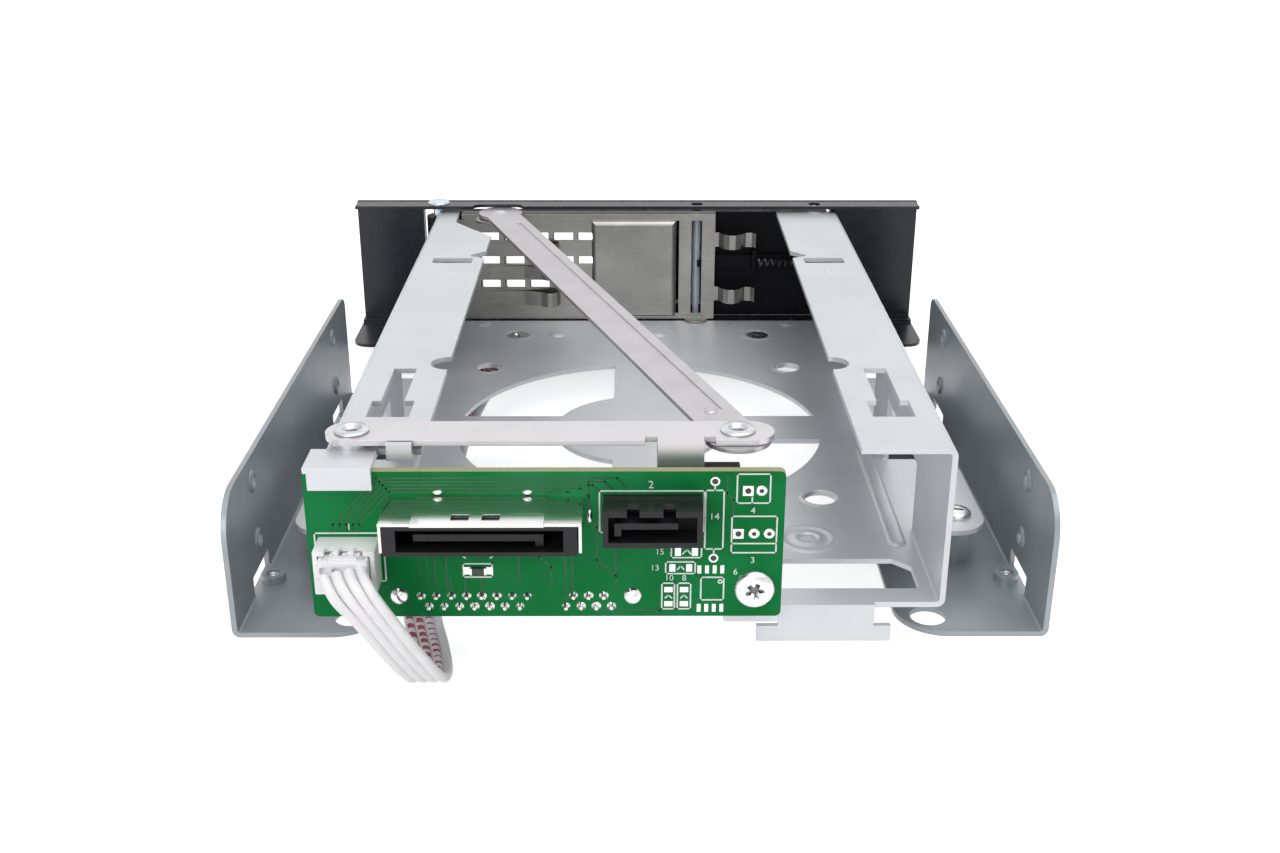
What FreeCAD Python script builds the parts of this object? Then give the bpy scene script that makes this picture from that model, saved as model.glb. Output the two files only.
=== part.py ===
"""Open drive cage for one 3.5-inch disk in a 5.25-inch bay, with a front door that ejects the disk.

Millimetres. +Z is up, +X is the door's hinge side and -Y is the front. The origin is the centre of
the four bottom screw holes, on the plane that the side brackets stand on.
"""
import FreeCAD, Part
import math
import os
import re

import Sketcher

UP = FreeCAD.Vector(0, 0, 1)

SIZES = {
    # folded sheet cage
    "sheet": 1.0, "cage_half": 52.6, "cage_floor": 9.2, "cage_top": 39.2, "cage_rear": 64.5,
    "rail_front": 90.3, "wall_front": 88.4, "base_front": 87.0, "rail_inner": 36.4,
    "bend_outer": 1.5, "bend_inner": 0.5,
    # round vent in the cage base, with a cross and a hub left standing
    "vent_radius": 40.0, "vent_back": 13.3, "cross_half": 6.7, "spoke_left": 5.7,
    "spoke_right": 10.3, "hub_radius": 18.5,
    # rear window and rear strip of the base
    "base_hole_front": 51.0, "base_hole_front_across": 36.6, "base_hole_front_radius": 2.9,
    "base_hole_rear": 22.8, "base_hole_rear_across": 35.9, "base_hole_rear_radius": 3.2,
    "bead_inner": 46.6, "bead_outer": 49.2, "bead_front": 1.0, "bead_rear": 43.0, "bead_height": 0.4,
    "window_half": 46.0, "window_front": 48.6, "window_rear": 59.6, "window_slant": 3.0,
    # rails
    "slot_inner": 38.9, "slot_outer": 48.1, "slot_front": 47.4, "slot_rear": 43.4,
    "vee_front": 53.2, "vee_rear": 46.8, "vee_depth": 3.2,
    "bite_front": 20.2, "bite_rear": 27.2,
    "tee_inner": 42.2, "tee_outer": 46.4, "tee_front": 26.6, "tee_step": 43.0,
    "tee_wide_inner": 40.4, "tee_wide_outer": 47.9, "tee_rear": 50.6,
    "nose_back": 80.0, "nose_inner": 46.6, "nose_mid": 73.5, "nose_mid_inner": 42.0, "nose_end": 66.5,
    "nose_radius": 4.0,
    # tabs at the rear of the cage
    "clip_inner": 43.6, "clip_outer": 54.0, "clip_roof_outer": 54.6, "clip_bottom": 35.2,
    "hook_inner": 37.6, "hook_outer": 41.8, "hook_reach": 2.6, "hook_top": 41.2,
    "screw_tab_inner": 14.0, "screw_tab_outer": 23.0, "screw_tab_top": 22.0, "tab_sheet": 1.0,
    "neck_inner": 23.6, "neck_outer": 40.3, "foot_inner": 20.0, "foot_outer": 43.3,
    "foot_bottom": 3.1, "foot_top": 6.1,
    # ears, standoffs and side brackets
    "ear_outer": 66.6, "ear_front": 4.0, "ear_rear": 37.4, "ear_radius": 6.0, "ear_window": 14.0,
    "front_ear_front": 44.0, "front_ear_rear": 12.0,
    "post_across": 61.6, "post_rear": 30.3, "post_front": 24.0, "post_radius": 2.9,
    "post_screw": 1.5, "pan_radius": 2.8, "pan_height": 1.7,
    "bay_half": 73.0, "bracket_sheet": 1.0, "bracket_height": 26.6, "bracket_inner": 46.5,
    "bracket_front": 57.5, "bracket_rear": 59.0, "bracket_corner": 9.0, "wall_corner": 8.0,
    "front_corner": 3.0, "foot_hole_across": 52.4, "foot_hole_back": 53.4, "foot_hole_radius": 3.3,
    "hole_half": 39.625, "hole_low": 9.91, "hole_high": 21.84, "thread_radius": 1.3,
    "collar_radius": 2.3, "bottom_across": 69.85, "bottom_collar": 1.6,
    "relief_half": 6.0, "relief_top": 4.7,
    # black bezel: steel frame behind a moulded face
    "bezel_half": 74.0, "bezel_top": 41.1, "bezel_bottom": 0.4, "bezel_front": 95.8,
    "face_back": 93.6, "panel_back": 92.7, "flange_rear": 88.5, "flange_sheet": 0.8,
    "opening_left": 56.4, "opening_right": 50.9, "opening_bottom": 9.9,
    "shelf_top": 9.2, "shelf_sheet": 0.8, "shelf_rear": 71.1, "shelf_corner": 4.0,
    "relief_left": 43.0, "relief_right": 30.0, "relief_front": 90.6,
    "shelf_lip": 0.8, "bezel_inset": 0.3, "joint": 0.1, "flange_hole": 1.6, "flange_hole_back": 91.0,
    "flange_slot_inner": 44.9, "flange_slot_outer": 47.9, "flange_slot_front": 92.7,
    "flange_slot_rear": 89.3, "bezel_edge": 0.6,
    "light_left": 41.0, "light_right": 33.0, "light_up": 4.6, "light_radius": 1.5, "light_room": 0.05,
    "dish_across": 31.2, "dish_back": 75.5, "dish_radius": 2.9,
    # door
    "hinge_across": 52.2, "hinge_back": 92.0, "hinge_pin": 1.5, "barrel": 3.3,
    "door_right": 50.0, "door_front": 95.5, "door_back": 91.4, "door_bottom": 10.5, "door_top": 38.9,
    "hinge_head": 2.8, "hinge_head_height": 0.9, "hinge_end": 0.6, "door_edge": 0.8,
    "vent_first_across": 39.1, "vent_step_across": 6.5, "vent_first_up": 33.2, "vent_step_up": 6.45,
    "vent_half_wide": 2.65, "vent_half_tall": 1.0, "vent_drop": 2.2,
    "recess_left": 12.0, "recess_right": 20.2, "recess_bottom": 13.4, "recess_top": 36.6,
    "channel_inner": 42.6, "channel_front": 92.7, "channel_bottom": 21.8, "channel_top": 30.2,
    "stop_inner": 30.2, "stop_outer": 31.2, "stop_rear": 86.4, "stop_front": 89.4,
    "stop_bottom": 24.2, "stop_bar": 28.0, "stop_top": 29.6,
    "plate_sheet": 0.5, "plate_back": 88.0, "plate_left": 48.0, "plate_right": 20.4,
    "plate_bottom": 10.3, "plate_top": 39.1,
    "pocket_left": 12.0, "pocket_right": 10.0, "pocket_back": 86.4, "pocket_bottom": 11.4,
    "pocket_top": 37.6, "pocket_radius": 1.2, "cut_bottom": 12.0, "cut_top": 37.4,
    "lug_half": 6.1, "lug_rear": 80.2, "lug_sheet": 0.6, "lug_radius": 3.0, "lug_hole_half": 4.1,
    "lug_hole_front": 2.7, "ring_radius": 3.1, "leaf_sheet": 0.4,
    "handle_left": 11.6, "handle_right": 18.8, "handle_back": 93.6, "handle_bottom": 14.0,
    "handle_top": 36.0, "knuckle_left": 12.4, "knuckle_front": 94.0, "knuckle_back": 91.6,
    "knuckle_gap": 1.1, "pass_bottom": 23.6, "pass_top": 28.4, "pass_left": 14.0,
    "arm_half": 0.7, "arm_bottom": 26.4, "arm_top": 27.6, "peg_bottom": 24.4, "handle_edge": 0.9,
    "catch_inner": 44.4, "catch_outer": 52.0, "catch_front": 92.4, "catch_bottom": 22.2, "catch_top": 29.8,
    "tongue_inner": 19.8, "tongue_front": 91.1, "tongue_back": 89.7, "tongue_bottom": 24.4,
    "tongue_top": 27.6, "spring_post_inner": 42.4, "spring_post_outer": 43.6, "spring_post_back": 86.4,
    "eye_bottom": 24.7, "eye_top": 25.9,
    "coil_back": 87.9, "coil_start": 42.2, "coil_up": 26.1, "coil_radius": 1.0, "coil_turns": 6.0,
    "handle_pin_across": 15.6, "handle_pin_back": 92.4, "handle_pin": 1.25,
    "peg_across": 17.7, "peg_back": 90.2, "peg": 0.5, "spring_wire": 0.45, "spring_pitch": 1.68,
    # eject linkage, all in flat bars above the rails
    "lever_pivot_across": 48.2, "lever_pivot_back": 61.6, "lever_end_across": 16.1,
    "lever_end_back": 61.4, "lever_half": 4.1, "lever_floor": 40.25, "lever_sheet": 1.0,
    "link_pivot_across": 35.6, "link_pivot_front": 86.1, "link_floor": 39.35, "link_sheet": 0.8,
    "link_half": 4.4, "link_head": 5.6,
    "lever_left": 52.6, "lever_right": 22.2, "pusher_left": 2.6, "pusher_right": 10.3,
    "pusher_notch": 1.6, "pusher_notch_wide": 2.0, "pusher_reach": 1.2, "pusher_bottom": 31.0,
    "pad_right": 16.4, "pad_front": 61.8, "pad_step": 62.6, "pad_rear": 65.8, "pad_bottom": 30.0,
    "pad_shoulder": 36.0, "pad_top": 38.9, "pivot_hole": 2.05, "pivot_shank": 1.98,
    "groove_end": 12.0, "groove_near": 1.0, "groove_far": 2.2, "groove_depth": 0.25,
    "rivet_washer": 3.4, "rivet_head": 2.9, "rivet_head_height": 0.6, "rivet_room": 0.08,
    "rear_rivet_washer": 3.2, "rear_rivet_head": 3.0, "front_rivet_shank": 1.6, "front_rivet_low": 38.2,
    # rear circuit board and what is soldered to it
    "board_left": 55.0, "board_right": 23.4, "board_bottom": 11.3, "board_top": 38.1,
    "board_front": 69.4, "board_back": 71.0, "board_corner": 1.0, "screw_across": 18.8, "screw_up": 16.9,
    "board_screw_hole": 1.7, "board_screw_head": 3.45, "board_screw_tall": 2.0, "board_screw_bevel": 0.9,
    "board_screw_end": 2.2, "board_screw_thread": 1.3,
    "socket_left": 43.0, "socket_right": 1.2, "socket_front": 60.8, "socket_bottom": 12.2,
    "socket_top": 18.0, "socket_depth": 5.7, "socket_mouth_low": 14.0, "socket_mouth_high": 16.4,
    "socket_key_right": 14.6, "socket_key_left": 17.0, "socket_end_right": 3.0, "socket_end_left": 39.2,
    "power_left": 41.0, "power_right": 10.2, "power_back": 81.1, "power_bottom": 28.0, "power_top": 33.2,
    "power_wall": 2.2, "power_skin": 0.7, "power_floor": 73.5, "power_tongue_left": 36.2,
    "power_tongue_right": 15.6, "power_tongue_back": 79.6, "tongue_floor": 29.9, "tongue_thick": 1.2,
    "tongue_key": 1.3, "tongue_key_low": 29.0,
    "shield_left": 41.5, "shield_right": 9.5, "shield_raised_left": 36.4, "shield_raised_right": 15.4,
    "shield_back": 81.6, "shield_low": 33.2, "shield_high": 33.9, "shield_sheet": 0.5,
    "shield_lug_bottom": 28.4, "shield_lug_back": 80.8, "shield_slot_wide": 2.8,
    "shield_slot_near": 22.4, "shield_slot_far": 27.3,
    "shield_slot_front": 78.2, "shield_slot_back": 80.2,
    "data_left": 6.3, "data_right": 9.7, "data_back": 77.6, "data_bottom": 27.6, "data_top": 34.0,
    "data_skin": 0.9, "data_floor": 72.6, "data_tongue_back": 76.8, "data_tongue_left": 4.4,
    "data_tongue_right": 5.8, "data_tongue_low": 30.5, "data_key_low": 29.3, "data_key": 1.1,
    "data_notch_front": 74.6,
    "data_notch_near": 5.4, "data_notch_far": 0.4, "data_notch_wide": 2.0,
    "header_left": 53.2, "header_right": 43.1, "header_back": 76.6, "header_bottom": 18.6,
    "header_top": 26.4, "header_wall": 0.8, "header_floor": 72.4,
    "plug_left": 52.2, "plug_right": 44.1, "plug_front": 72.6, "plug_back": 78.2, "plug_bottom": 19.6,
    "plug_top": 25.4, "plug_key_left": 50.4, "plug_key_right": 45.8, "plug_key_back": 77.8,
    "plug_key_top": 25.9,
    "pin_pitch": 2.54, "pin_upper": 15.2, "pin_lower": 13.2, "pin_first_upper": 36.9, "pin_first_lower": 35.63,
    "pin_gap_upper": 11.4, "pin_gap_lower": 12.67, "pin_radius": 0.8, "pin_height": 0.9,
    "post_pin_left": 40.6, "post_pin_right": 1.5, "post_pin_radius": 1.6, "post_pin_height": 1.1,
    "chip_left": 28.2, "chip_right": 26.1, "chip_height": 0.6, "chip_tall": 1.25,
    "chip_low": 19.4, "chip_high": 23.1,
    "light_board_left": 47.0, "light_board_right": 27.0, "light_board_front": 92.4,
    "light_board_back": 91.2, "light_board_bottom": 1.2, "light_board_top": 7.8,
    "light_socket_left": 42.0, "light_socket_right": 32.0, "light_socket_back": 86.0,
    "light_socket_bottom": 2.0, "light_socket_top": 6.8, "light_length": 3.2,
}
SIZES["link_length"] = round(math.hypot(SIZES["link_pivot_across"] + SIZES["lever_end_across"],
                                        SIZES["link_pivot_front"] + SIZES["lever_end_back"]), 3)
LINK_TURN = math.degrees(math.atan2(SIZES["link_pivot_front"] + SIZES["lever_end_back"],
                                    -SIZES["link_pivot_across"] - SIZES["lever_end_across"]))


def bound(text):
    """Expression with each size name pointed at its cell."""
    named = lambda found: "sizes." + found.group() if found.group() in SIZES else found.group()
    return re.sub(r"[a-z][a-z_0-9]*", named, str(text))


def fill_sheet(doc):
    """Spreadsheet of the driving sizes, one named cell each."""
    sheet = doc.addObject("Spreadsheet::Sheet", "sizes")
    for row, (name, value) in enumerate(SIZES.items(), 1):
        sheet.set("A%d" % row, name)
        sheet.set("B%d" % row, str(value))
        sheet.setAlias("B%d" % row, name)
    doc.recompute()
    return sheet


DOC = FreeCAD.newDocument("drive_cage")
SHEET = fill_sheet(DOC)
BODIES = []


# ---- short hands for sketches and features ------------------------------------------------------

def new_body(label):
    body = DOC.addObject("PartDesign::Body", label)
    body.Label = label
    BODIES.append(body)
    return body


def sketch_on(body, role, offset="0"):
    """Sketch on one of the body's own origin planes, moved along that plane's normal."""
    plane = next(item for item in body.Origin.OriginFeatures if item.Role == role)
    sketch = body.newObject("Sketcher::SketchObject", body.Label + "_sketch")
    sketch.AttachmentSupport = [(plane, "")]
    sketch.MapMode = "FlatFace"
    sketch.setExpression("AttachmentOffset.Base.z", bound(offset))
    return sketch


def fix_point(sketch, geometry, end, place, start):
    for kind, text, value in (("DistanceX", place[0], start.x), ("DistanceY", place[1], start.y)):
        index = sketch.addConstraint(Sketcher.Constraint(kind, -1, 1, geometry, end, value))
        sketch.setExpression("Constraints[%d]" % index, bound(text))


def outline(sketch, points):
    """Closed outline whose corners stand where the expressions say."""
    count = len(points)
    turn = 2 * math.pi / count
    ring = [FreeCAD.Vector(math.cos(turn * i), math.sin(turn * i), 0) * 100 for i in range(count)]
    first = sketch.GeometryCount
    lines = [Part.LineSegment(ring[i], ring[(i + 1) % count]) for i in range(count)]
    sketch.addGeometry(lines, False)
    for i in range(count):
        after = first + (i + 1) % count
        sketch.addConstraint(Sketcher.Constraint("Coincident", first + i, 2, after, 1))
    for i, point in enumerate(points):
        fix_point(sketch, first + i, 1, point, ring[i])


def hexagons(sketch, centres, radius):
    """Six-sided outlines, each with two sides along the sketch's second axis."""
    for x, y in centres:
        turns = [(math.cos(math.radians(a)), math.sin(math.radians(a))) for a in range(30, 390, 60)]
        outline(sketch, [("(%s) + (%s) * %.6f" % (x, radius, across), "(%s) + (%s) * %.6f" % (y, radius, up))
                         for across, up in turns])


def circles(sketch, centres, radius):
    for i, centre in enumerate(centres):
        start = FreeCAD.Vector(10 * i + 5, 10, 0)
        geometry = sketch.addGeometry(Part.Circle(start, UP, 3), False)
        fix_point(sketch, geometry, 3, centre, start)
        index = sketch.addConstraint(Sketcher.Constraint("Radius", geometry, 3))
        sketch.setExpression("Constraints[%d]" % index, bound(radius))


def corners(across, up):
    return [(across[0], up[0]), (across[1], up[0]), (across[1], up[1]), (across[0], up[1])]


def pad(body, sketch, length, backwards=False):
    feature = body.newObject("PartDesign::Pad", body.Label + "_pad")
    feature.Profile = sketch
    feature.Reversed = backwards
    feature.setExpression("Length", bound(length))
    DOC.recompute()
    return feature


def pocket(body, sketch, length, backwards=False):
    before = body.Shape.Volume
    feature = body.newObject("PartDesign::Pocket", body.Label + "_pocket")
    feature.Profile = sketch
    feature.Reversed = backwards
    feature.setExpression("Length", bound(length))
    DOC.recompute()
    if not body.Shape.Volume < before - 1e-6:
        raise ValueError("a pocket in %s cuts nothing" % body.Label)
    return feature


def add_shape(body, role, offset, points, length, backwards=False):
    sketch = sketch_on(body, role, offset)
    outline(sketch, points)
    return pad(body, sketch, length, backwards)


def cut_shape(body, role, offset, points, length, backwards=False):
    sketch = sketch_on(body, role, offset)
    outline(sketch, points)
    return pocket(body, sketch, length, backwards)


def add_block(body, across, deep, up):
    """Block between two X, two Y and two Z expressions."""
    return add_shape(body, "XY_Plane", up[0], corners(across, deep), "(%s)-(%s)" % (up[1], up[0]))


def cut_block(body, across, deep, up):
    return cut_shape(body, "XY_Plane", up[1], corners(across, deep), "(%s)-(%s)" % (up[1], up[0]))


def add_discs(body, role, offset, centres, radius, length, backwards=False):
    sketch = sketch_on(body, role, offset)
    circles(sketch, centres, radius)
    return pad(body, sketch, length, backwards)


def add_hexagons(body, role, offset, centres, radius, length, backwards=False):
    sketch = sketch_on(body, role, offset)
    hexagons(sketch, centres, radius)
    return pad(body, sketch, length, backwards)


def cut_discs(body, role, offset, centres, radius, length, backwards=False):
    sketch = sketch_on(body, role, offset)
    circles(sketch, centres, radius)
    return pocket(body, sketch, length, backwards)


def add_cones(body, top, centres, radius, depth):
    """Countersunk heads: discs that narrow downwards at 45 degrees from the top expression."""
    sketch = sketch_on(body, "XY_Plane", top)
    circles(sketch, centres, radius)
    feature = pad(body, sketch, depth, True)
    feature.TaperAngle = -45
    DOC.recompute()


def cut_cones(body, top, centres, radius, depth):
    """Countersinks that narrow downwards at 45 degrees from the top expression."""
    sketch = sketch_on(body, "XY_Plane", top)
    circles(sketch, centres, radius)
    feature = pocket(body, sketch, depth)
    feature.TaperAngle = -45
    DOC.recompute()


def round_edges(body, radius, chosen):
    """Fillet on each straight edge that chosen(middle, direction) accepts."""
    names = []
    for number, edge in enumerate(body.Shape.Edges, 1):
        if isinstance(edge.Curve, Part.Line):
            middle = edge.valueAt((edge.FirstParameter + edge.LastParameter) / 2)
            if chosen(middle, edge.Curve.Direction):
                names.append("Edge%d" % number)
    if not names:
        raise ValueError("no edge to round in %s" % body.Label)
    rounded = body.Tip
    feature = body.newObject("PartDesign::Fillet", body.Label + "_fillet")
    feature.Base = (rounded, names)
    feature.setExpression("Radius", bound(radius))
    DOC.recompute()
    return feature


def sided(side, text):
    """The expression as it is on the +X side, and negated on the -X side."""
    return text if side > 0 else "-(%s)" % text


def bevel_rims(body, size, chosen):
    """Chamfer on each round edge whose centre chosen(centre) accepts."""
    names = []
    for number, edge in enumerate(body.Shape.Edges, 1):
        if isinstance(edge.Curve, Part.Circle) and chosen(edge.Curve.Center):
            names.append("Edge%d" % number)
    bevelled = body.Tip
    feature = body.newObject("PartDesign::Chamfer", body.Label + "_rim")
    feature.Base = (bevelled, names)
    feature.setExpression("Size", bound(size))
    DOC.recompute()
    return feature


def near(value, target, reach=0.05):
    return abs(value - target) < reach


# ---- sheet metal of the fixed frame ------------------------------------------------------------

def cage():
    """Folded cage: base with vents, two walls and two rails turned inwards over the disk."""
    body = new_body("cage")
    wall, roof, floor = "cage_half - sheet", "cage_top - sheet", "cage_floor + sheet"
    half = [("cage_half", "cage_floor"), ("cage_half", "cage_top"), ("rail_inner", "cage_top"),
            ("rail_inner", roof), (wall, roof), (wall, floor)]
    mirrored = [("-(%s)" % across, up) for across, up in reversed(half)]
    add_shape(body, "XZ_Plane", "rail_front", half + mirrored, "rail_front + cage_rear", True)
    outer, inner = SIZES["cage_half"], SIZES["cage_half"] - SIZES["sheet"]
    along = lambda direction: abs(direction.y) > 0.99
    round_edges(body, "bend_inner", lambda m, d: along(d) and near(abs(m.x), inner))
    round_edges(body, "bend_outer", lambda m, d: along(d) and near(abs(m.x), outer))
    cage_front(body)
    cage_base(body)
    for side in (1, -1):
        cage_rail(body, side)
        cage_ears(body, side)
    cage_board_tabs(body)
    return body


def cage_front(body):
    """Walls and base end behind the door, and the hinge side's rail is hollowed for the link."""
    past = "rail_front + 1"
    cut_block(body, ("-cage_half - 1", "cage_half + 1"), ("-(%s)" % past, "-wall_front"),
              ("cage_floor - 1", "cage_top - sheet"))
    cut_block(body, ("-cage_half - 1", "cage_half + 1"), ("-(%s)" % past, "-base_front"),
              ("cage_floor - 1", "cage_floor + sheet"))
    nose = [("rail_inner - 1", "-(%s)" % past), ("nose_inner", "-(%s)" % past),
            ("nose_inner", "-nose_back"), ("nose_mid_inner", "-nose_mid"),
            ("rail_inner", "-nose_end"), ("rail_inner - 1", "-nose_end")]
    cut_shape(body, "XY_Plane", "cage_top + 1", nose, "sheet + 2")
    upright = lambda direction: abs(direction.z) > 0.99
    turns = (-SIZES["nose_back"], -SIZES["nose_mid"])
    round_edges(body, "nose_radius", lambda m, d: upright(d) and m.x > 40 and any(near(m.y, y) for y in turns))


def cage_base(body):
    """Round vent with its cross and hub, rear window, holes, beads and screw dishes."""
    middle = ("0.001", "-vent_back")
    floor_top = "cage_floor + sheet"
    cut_discs(body, "XY_Plane", "cage_floor + sheet + 0.5", [middle], "vent_radius", "sheet + 1")
    reach = "vent_radius + 0.5"
    add_block(body, ("-(%s)" % reach, reach), ("-vent_back - cross_half", "-vent_back + cross_half"),
              ("cage_floor", "cage_floor + sheet"))
    add_block(body, ("-spoke_right", "spoke_left"), ("-vent_back - %s" % reach.replace("+", "-"),
              "-vent_back + vent_radius + 0.5"), ("cage_floor", "cage_floor + sheet"))
    add_discs(body, "XY_Plane", "cage_floor", [middle], "hub_radius", "sheet")
    window = [("-window_half", "window_front"), ("window_half", "window_front"),
              ("window_half + window_slant", "window_front + window_slant"),
              ("window_half + window_slant", "window_rear"),
              ("-window_half - window_slant", "window_rear"),
              ("-window_half - window_slant", "window_front + window_slant")]
    cut_shape(body, "XY_Plane", "cage_floor + sheet + 1", window, "sheet + 2")
    drop = "sheet + 2"
    top = "cage_floor + sheet + 1"
    for place in ("front", "rear"):
        back = "-base_hole_front" if place == "front" else "base_hole_rear"
        holes = [(sided(side, "base_hole_%s_across" % place), back) for side in (1, -1)]
        cut_discs(body, "XY_Plane", top, holes, "base_hole_%s_radius" % place, drop)
    dishes = [("dish_across", "-dish_back"), ("-dish_across", "-dish_back")]
    cut_cones(body, floor_top, dishes, "dish_radius", "sheet")
    for side in (1, -1):
        bead = (sided(side, "bead_inner"), sided(side, "bead_outer"))
        add_block(body, bead, ("-bead_front", "bead_rear"), (floor_top, floor_top + " + bead_height"))


def cage_rail(body, side):
    """Notches, slot and T-shaped window in one rail."""
    above, drop = "cage_top + 1", "sheet + 2"
    across = lambda *texts: tuple(sided(side, text) for text in texts)
    for x, y in ((("slot_inner", "slot_outer"), ("-slot_front", "-slot_rear")),
                 (("tee_inner", "tee_outer"), ("tee_front", "tee_step + 0.1")),
                 (("tee_wide_inner", "tee_wide_outer"), ("tee_step", "tee_rear"))):
        cut_shape(body, "XY_Plane", above, corners(across(*x), y), drop)
    edge, depth = across("rail_inner - 1", "rail_inner + vee_depth")
    vee = [(edge, "-vee_front - 1"), (depth, "-(vee_front + vee_rear) / 2"),
           (depth, "-(vee_front + vee_rear) / 2 + 1"), (edge, "-vee_rear")]
    cut_shape(body, "XY_Plane", above, vee, drop)
    bite = [(sided(side, "rail_inner"), "(bite_front + bite_rear) / 2")]
    cut_discs(body, "XY_Plane", above, bite, "(bite_rear - bite_front) / 2", drop)


def cage_ears(body, side):
    """Ears that carry the cage on its standoffs, each turned out of a window in the wall."""
    inside, outside, edge = (sided(side, text) for text in
                             ("cage_half - 0.3", "cage_half + 0.3", "ear_outer"))
    for front, rear in (("ear_front", "ear_rear"), ("-front_ear_front", "-front_ear_rear")):
        add_block(body, (inside, edge), (front, rear), ("cage_floor", "cage_floor + sheet"))
        cut_block(body, (sided(side, "cage_half - sheet - 0.6"), sided(side, "cage_half + 1")),
                  (front, rear), ("cage_floor + sheet", "cage_floor + sheet + ear_window"))
    posts = [(sided(side, "post_across"), "post_rear"), (sided(side, "post_across"), "-post_front")]
    cut_discs(body, "XY_Plane", "cage_floor + sheet + 1", posts, "post_screw + 0.1", "sheet + 2")
    reach = side * SIZES["ear_outer"]
    round_edges(body, "ear_radius", lambda m, d: abs(d.z) > 0.99 and near(m.x, reach))


def cage_board_tabs(body):
    """Tabs at the rear: one folded over the board, one behind its screw, one hook and one foot."""
    top, roof = "cage_top", "cage_top - sheet"
    start = "cage_rear - joint"
    behind = ("board_back + joint", "board_back + joint + tab_sheet")
    add_block(body, ("clip_inner", "clip_roof_outer"), (start, behind[1]), (roof, top))
    add_block(body, ("clip_inner", "clip_outer"), behind, ("clip_bottom", top))
    hook = ("hook_inner", "hook_outer")
    add_block(body, hook, (start, "cage_rear + hook_reach"), (roof, top))
    add_block(body, hook, ("cage_rear + hook_reach - tab_sheet", "cage_rear + hook_reach"), (roof, "hook_top"))
    screw_tab = ("-screw_tab_outer", "-screw_tab_inner")
    front = "board_front - joint - tab_sheet"
    add_block(body, screw_tab, (start, "board_front - joint"), ("cage_floor", "cage_floor + sheet"))
    add_block(body, screw_tab, (front, "board_front - joint"), ("cage_floor", "screw_tab_top"))
    screw = [("-screw_across", "screw_up")]
    cut_discs(body, "XZ_Plane", "-board_front - 1", screw, "board_screw_thread + 0.05", "3", True)
    neck, foot = ("-neck_outer", "-neck_inner"), ("-foot_outer", "-foot_inner")
    outside = ("cage_rear", "cage_rear + tab_sheet")
    add_block(body, neck, (start, outside[1]), ("cage_floor", "cage_floor + sheet"))
    add_block(body, neck, outside, ("foot_top - joint", "cage_floor + sheet"))
    add_block(body, foot, outside, ("foot_bottom", "foot_top"))


def bracket(side, label):
    """Side bracket: an upright with the bay's side holes and a foot with its bottom holes."""
    body = new_body(label)
    outside, inside = sided(side, "bay_half"), sided(side, "bay_half - bracket_sheet")
    profile = [(outside, "0.001"), (outside, "bracket_height"), (inside, "bracket_height"),
               (inside, "bracket_sheet"), (sided(side, "bracket_inner"), "bracket_sheet"),
               (sided(side, "bracket_inner"), "0.001")]
    add_shape(body, "XZ_Plane", "bracket_front", profile, "bracket_front + bracket_rear", True)
    along = lambda d: abs(d.y) > 0.99
    low_outer = side * SIZES["bay_half"]
    low_inner = side * (SIZES["bay_half"] - SIZES["bracket_sheet"])
    round_edges(body, "bend_inner", lambda m, d: along(d) and near(m.x, low_inner) and m.z < 2)
    round_edges(body, "bend_outer", lambda m, d: along(d) and near(m.x, low_outer) and m.z < 2)
    rear, front = SIZES["bracket_rear"], -SIZES["bracket_front"]
    tall = SIZES["bracket_height"]
    inner = side * SIZES["bracket_inner"]
    round_edges(body, "wall_corner", lambda m, d: abs(d.x) > 0.99 and near(m.y, rear) and near(m.z, tall))
    round_edges(body, "front_corner", lambda m, d: abs(d.x) > 0.99 and near(m.y, front) and near(m.z, tall))
    round_edges(body, "bracket_corner", lambda m, d: abs(d.z) > 0.99 and near(m.y, rear) and near(m.x, inner))
    bracket_holes(body, side)
    return body


def bracket_holes(body, side):
    """Foot relief windows, bottom holes with drawn collars, side holes and the large foot hole."""
    across = lambda *texts: tuple(sided(side, text) for text in texts)
    for end in (1, -1):
        middle = "%d * hole_half" % end
        cut_block(body, across("bay_half - bracket_sheet - 0.6", "bay_half + 1"),
                  ("%s - relief_half" % middle, "%s + relief_half" % middle),
                  ("bracket_sheet", "relief_top"))
        bottom = [(sided(side, "bottom_across"), middle)]
        add_discs(body, "XY_Plane", "bracket_sheet", bottom, "collar_radius", "bottom_collar")
        cut_discs(body, "XY_Plane", "bracket_sheet + 2", bottom, "thread_radius", "4")
    spots = [("%d * hole_half" % end, height) for end in (1, -1) for height in ("hole_low", "hole_high")]
    cut_discs(body, "YZ_Plane", sided(side, "bay_half + 1"), spots, "thread_radius", "4", side < 0)
    foot = [(sided(side, "foot_hole_across"), "foot_hole_back")]
    cut_discs(body, "XY_Plane", "bracket_sheet + 1", foot, "foot_hole_radius", "3")
    posts = [(sided(side, "post_across"), "post_rear"), (sided(side, "post_across"), "-post_front")]
    cut_discs(body, "XY_Plane", "bracket_sheet + 1", posts, "post_screw + 0.1", "3")


def standoffs():
    """Four hexagonal standoffs between the brackets' feet and the cage's ears."""
    body = new_body("standoffs")
    add_hexagons(body, "XY_Plane", "bracket_sheet", post_places(), "post_radius",
                 "cage_floor - bracket_sheet")
    cut_discs(body, "XY_Plane", "cage_floor + 1", post_places(), "post_screw + 0.02", "cage_floor + 2")
    return body


def post_places():
    return [(sided(side, "post_across"), back) for side in (1, -1) for back in ("post_rear", "-post_front")]


def pan_screws(label, places, seat, reach, shank, head, tall):
    """Pan-head screws that point down from the seat."""
    body = new_body(label)
    add_discs(body, "XY_Plane", "(%s) - (%s)" % (seat, reach), places, shank, "(%s) + 0.2" % reach)
    add_discs(body, "XY_Plane", seat, places, head, tall)
    return body


# ---- bezel and door ----------------------------------------------------------------------------

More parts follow.
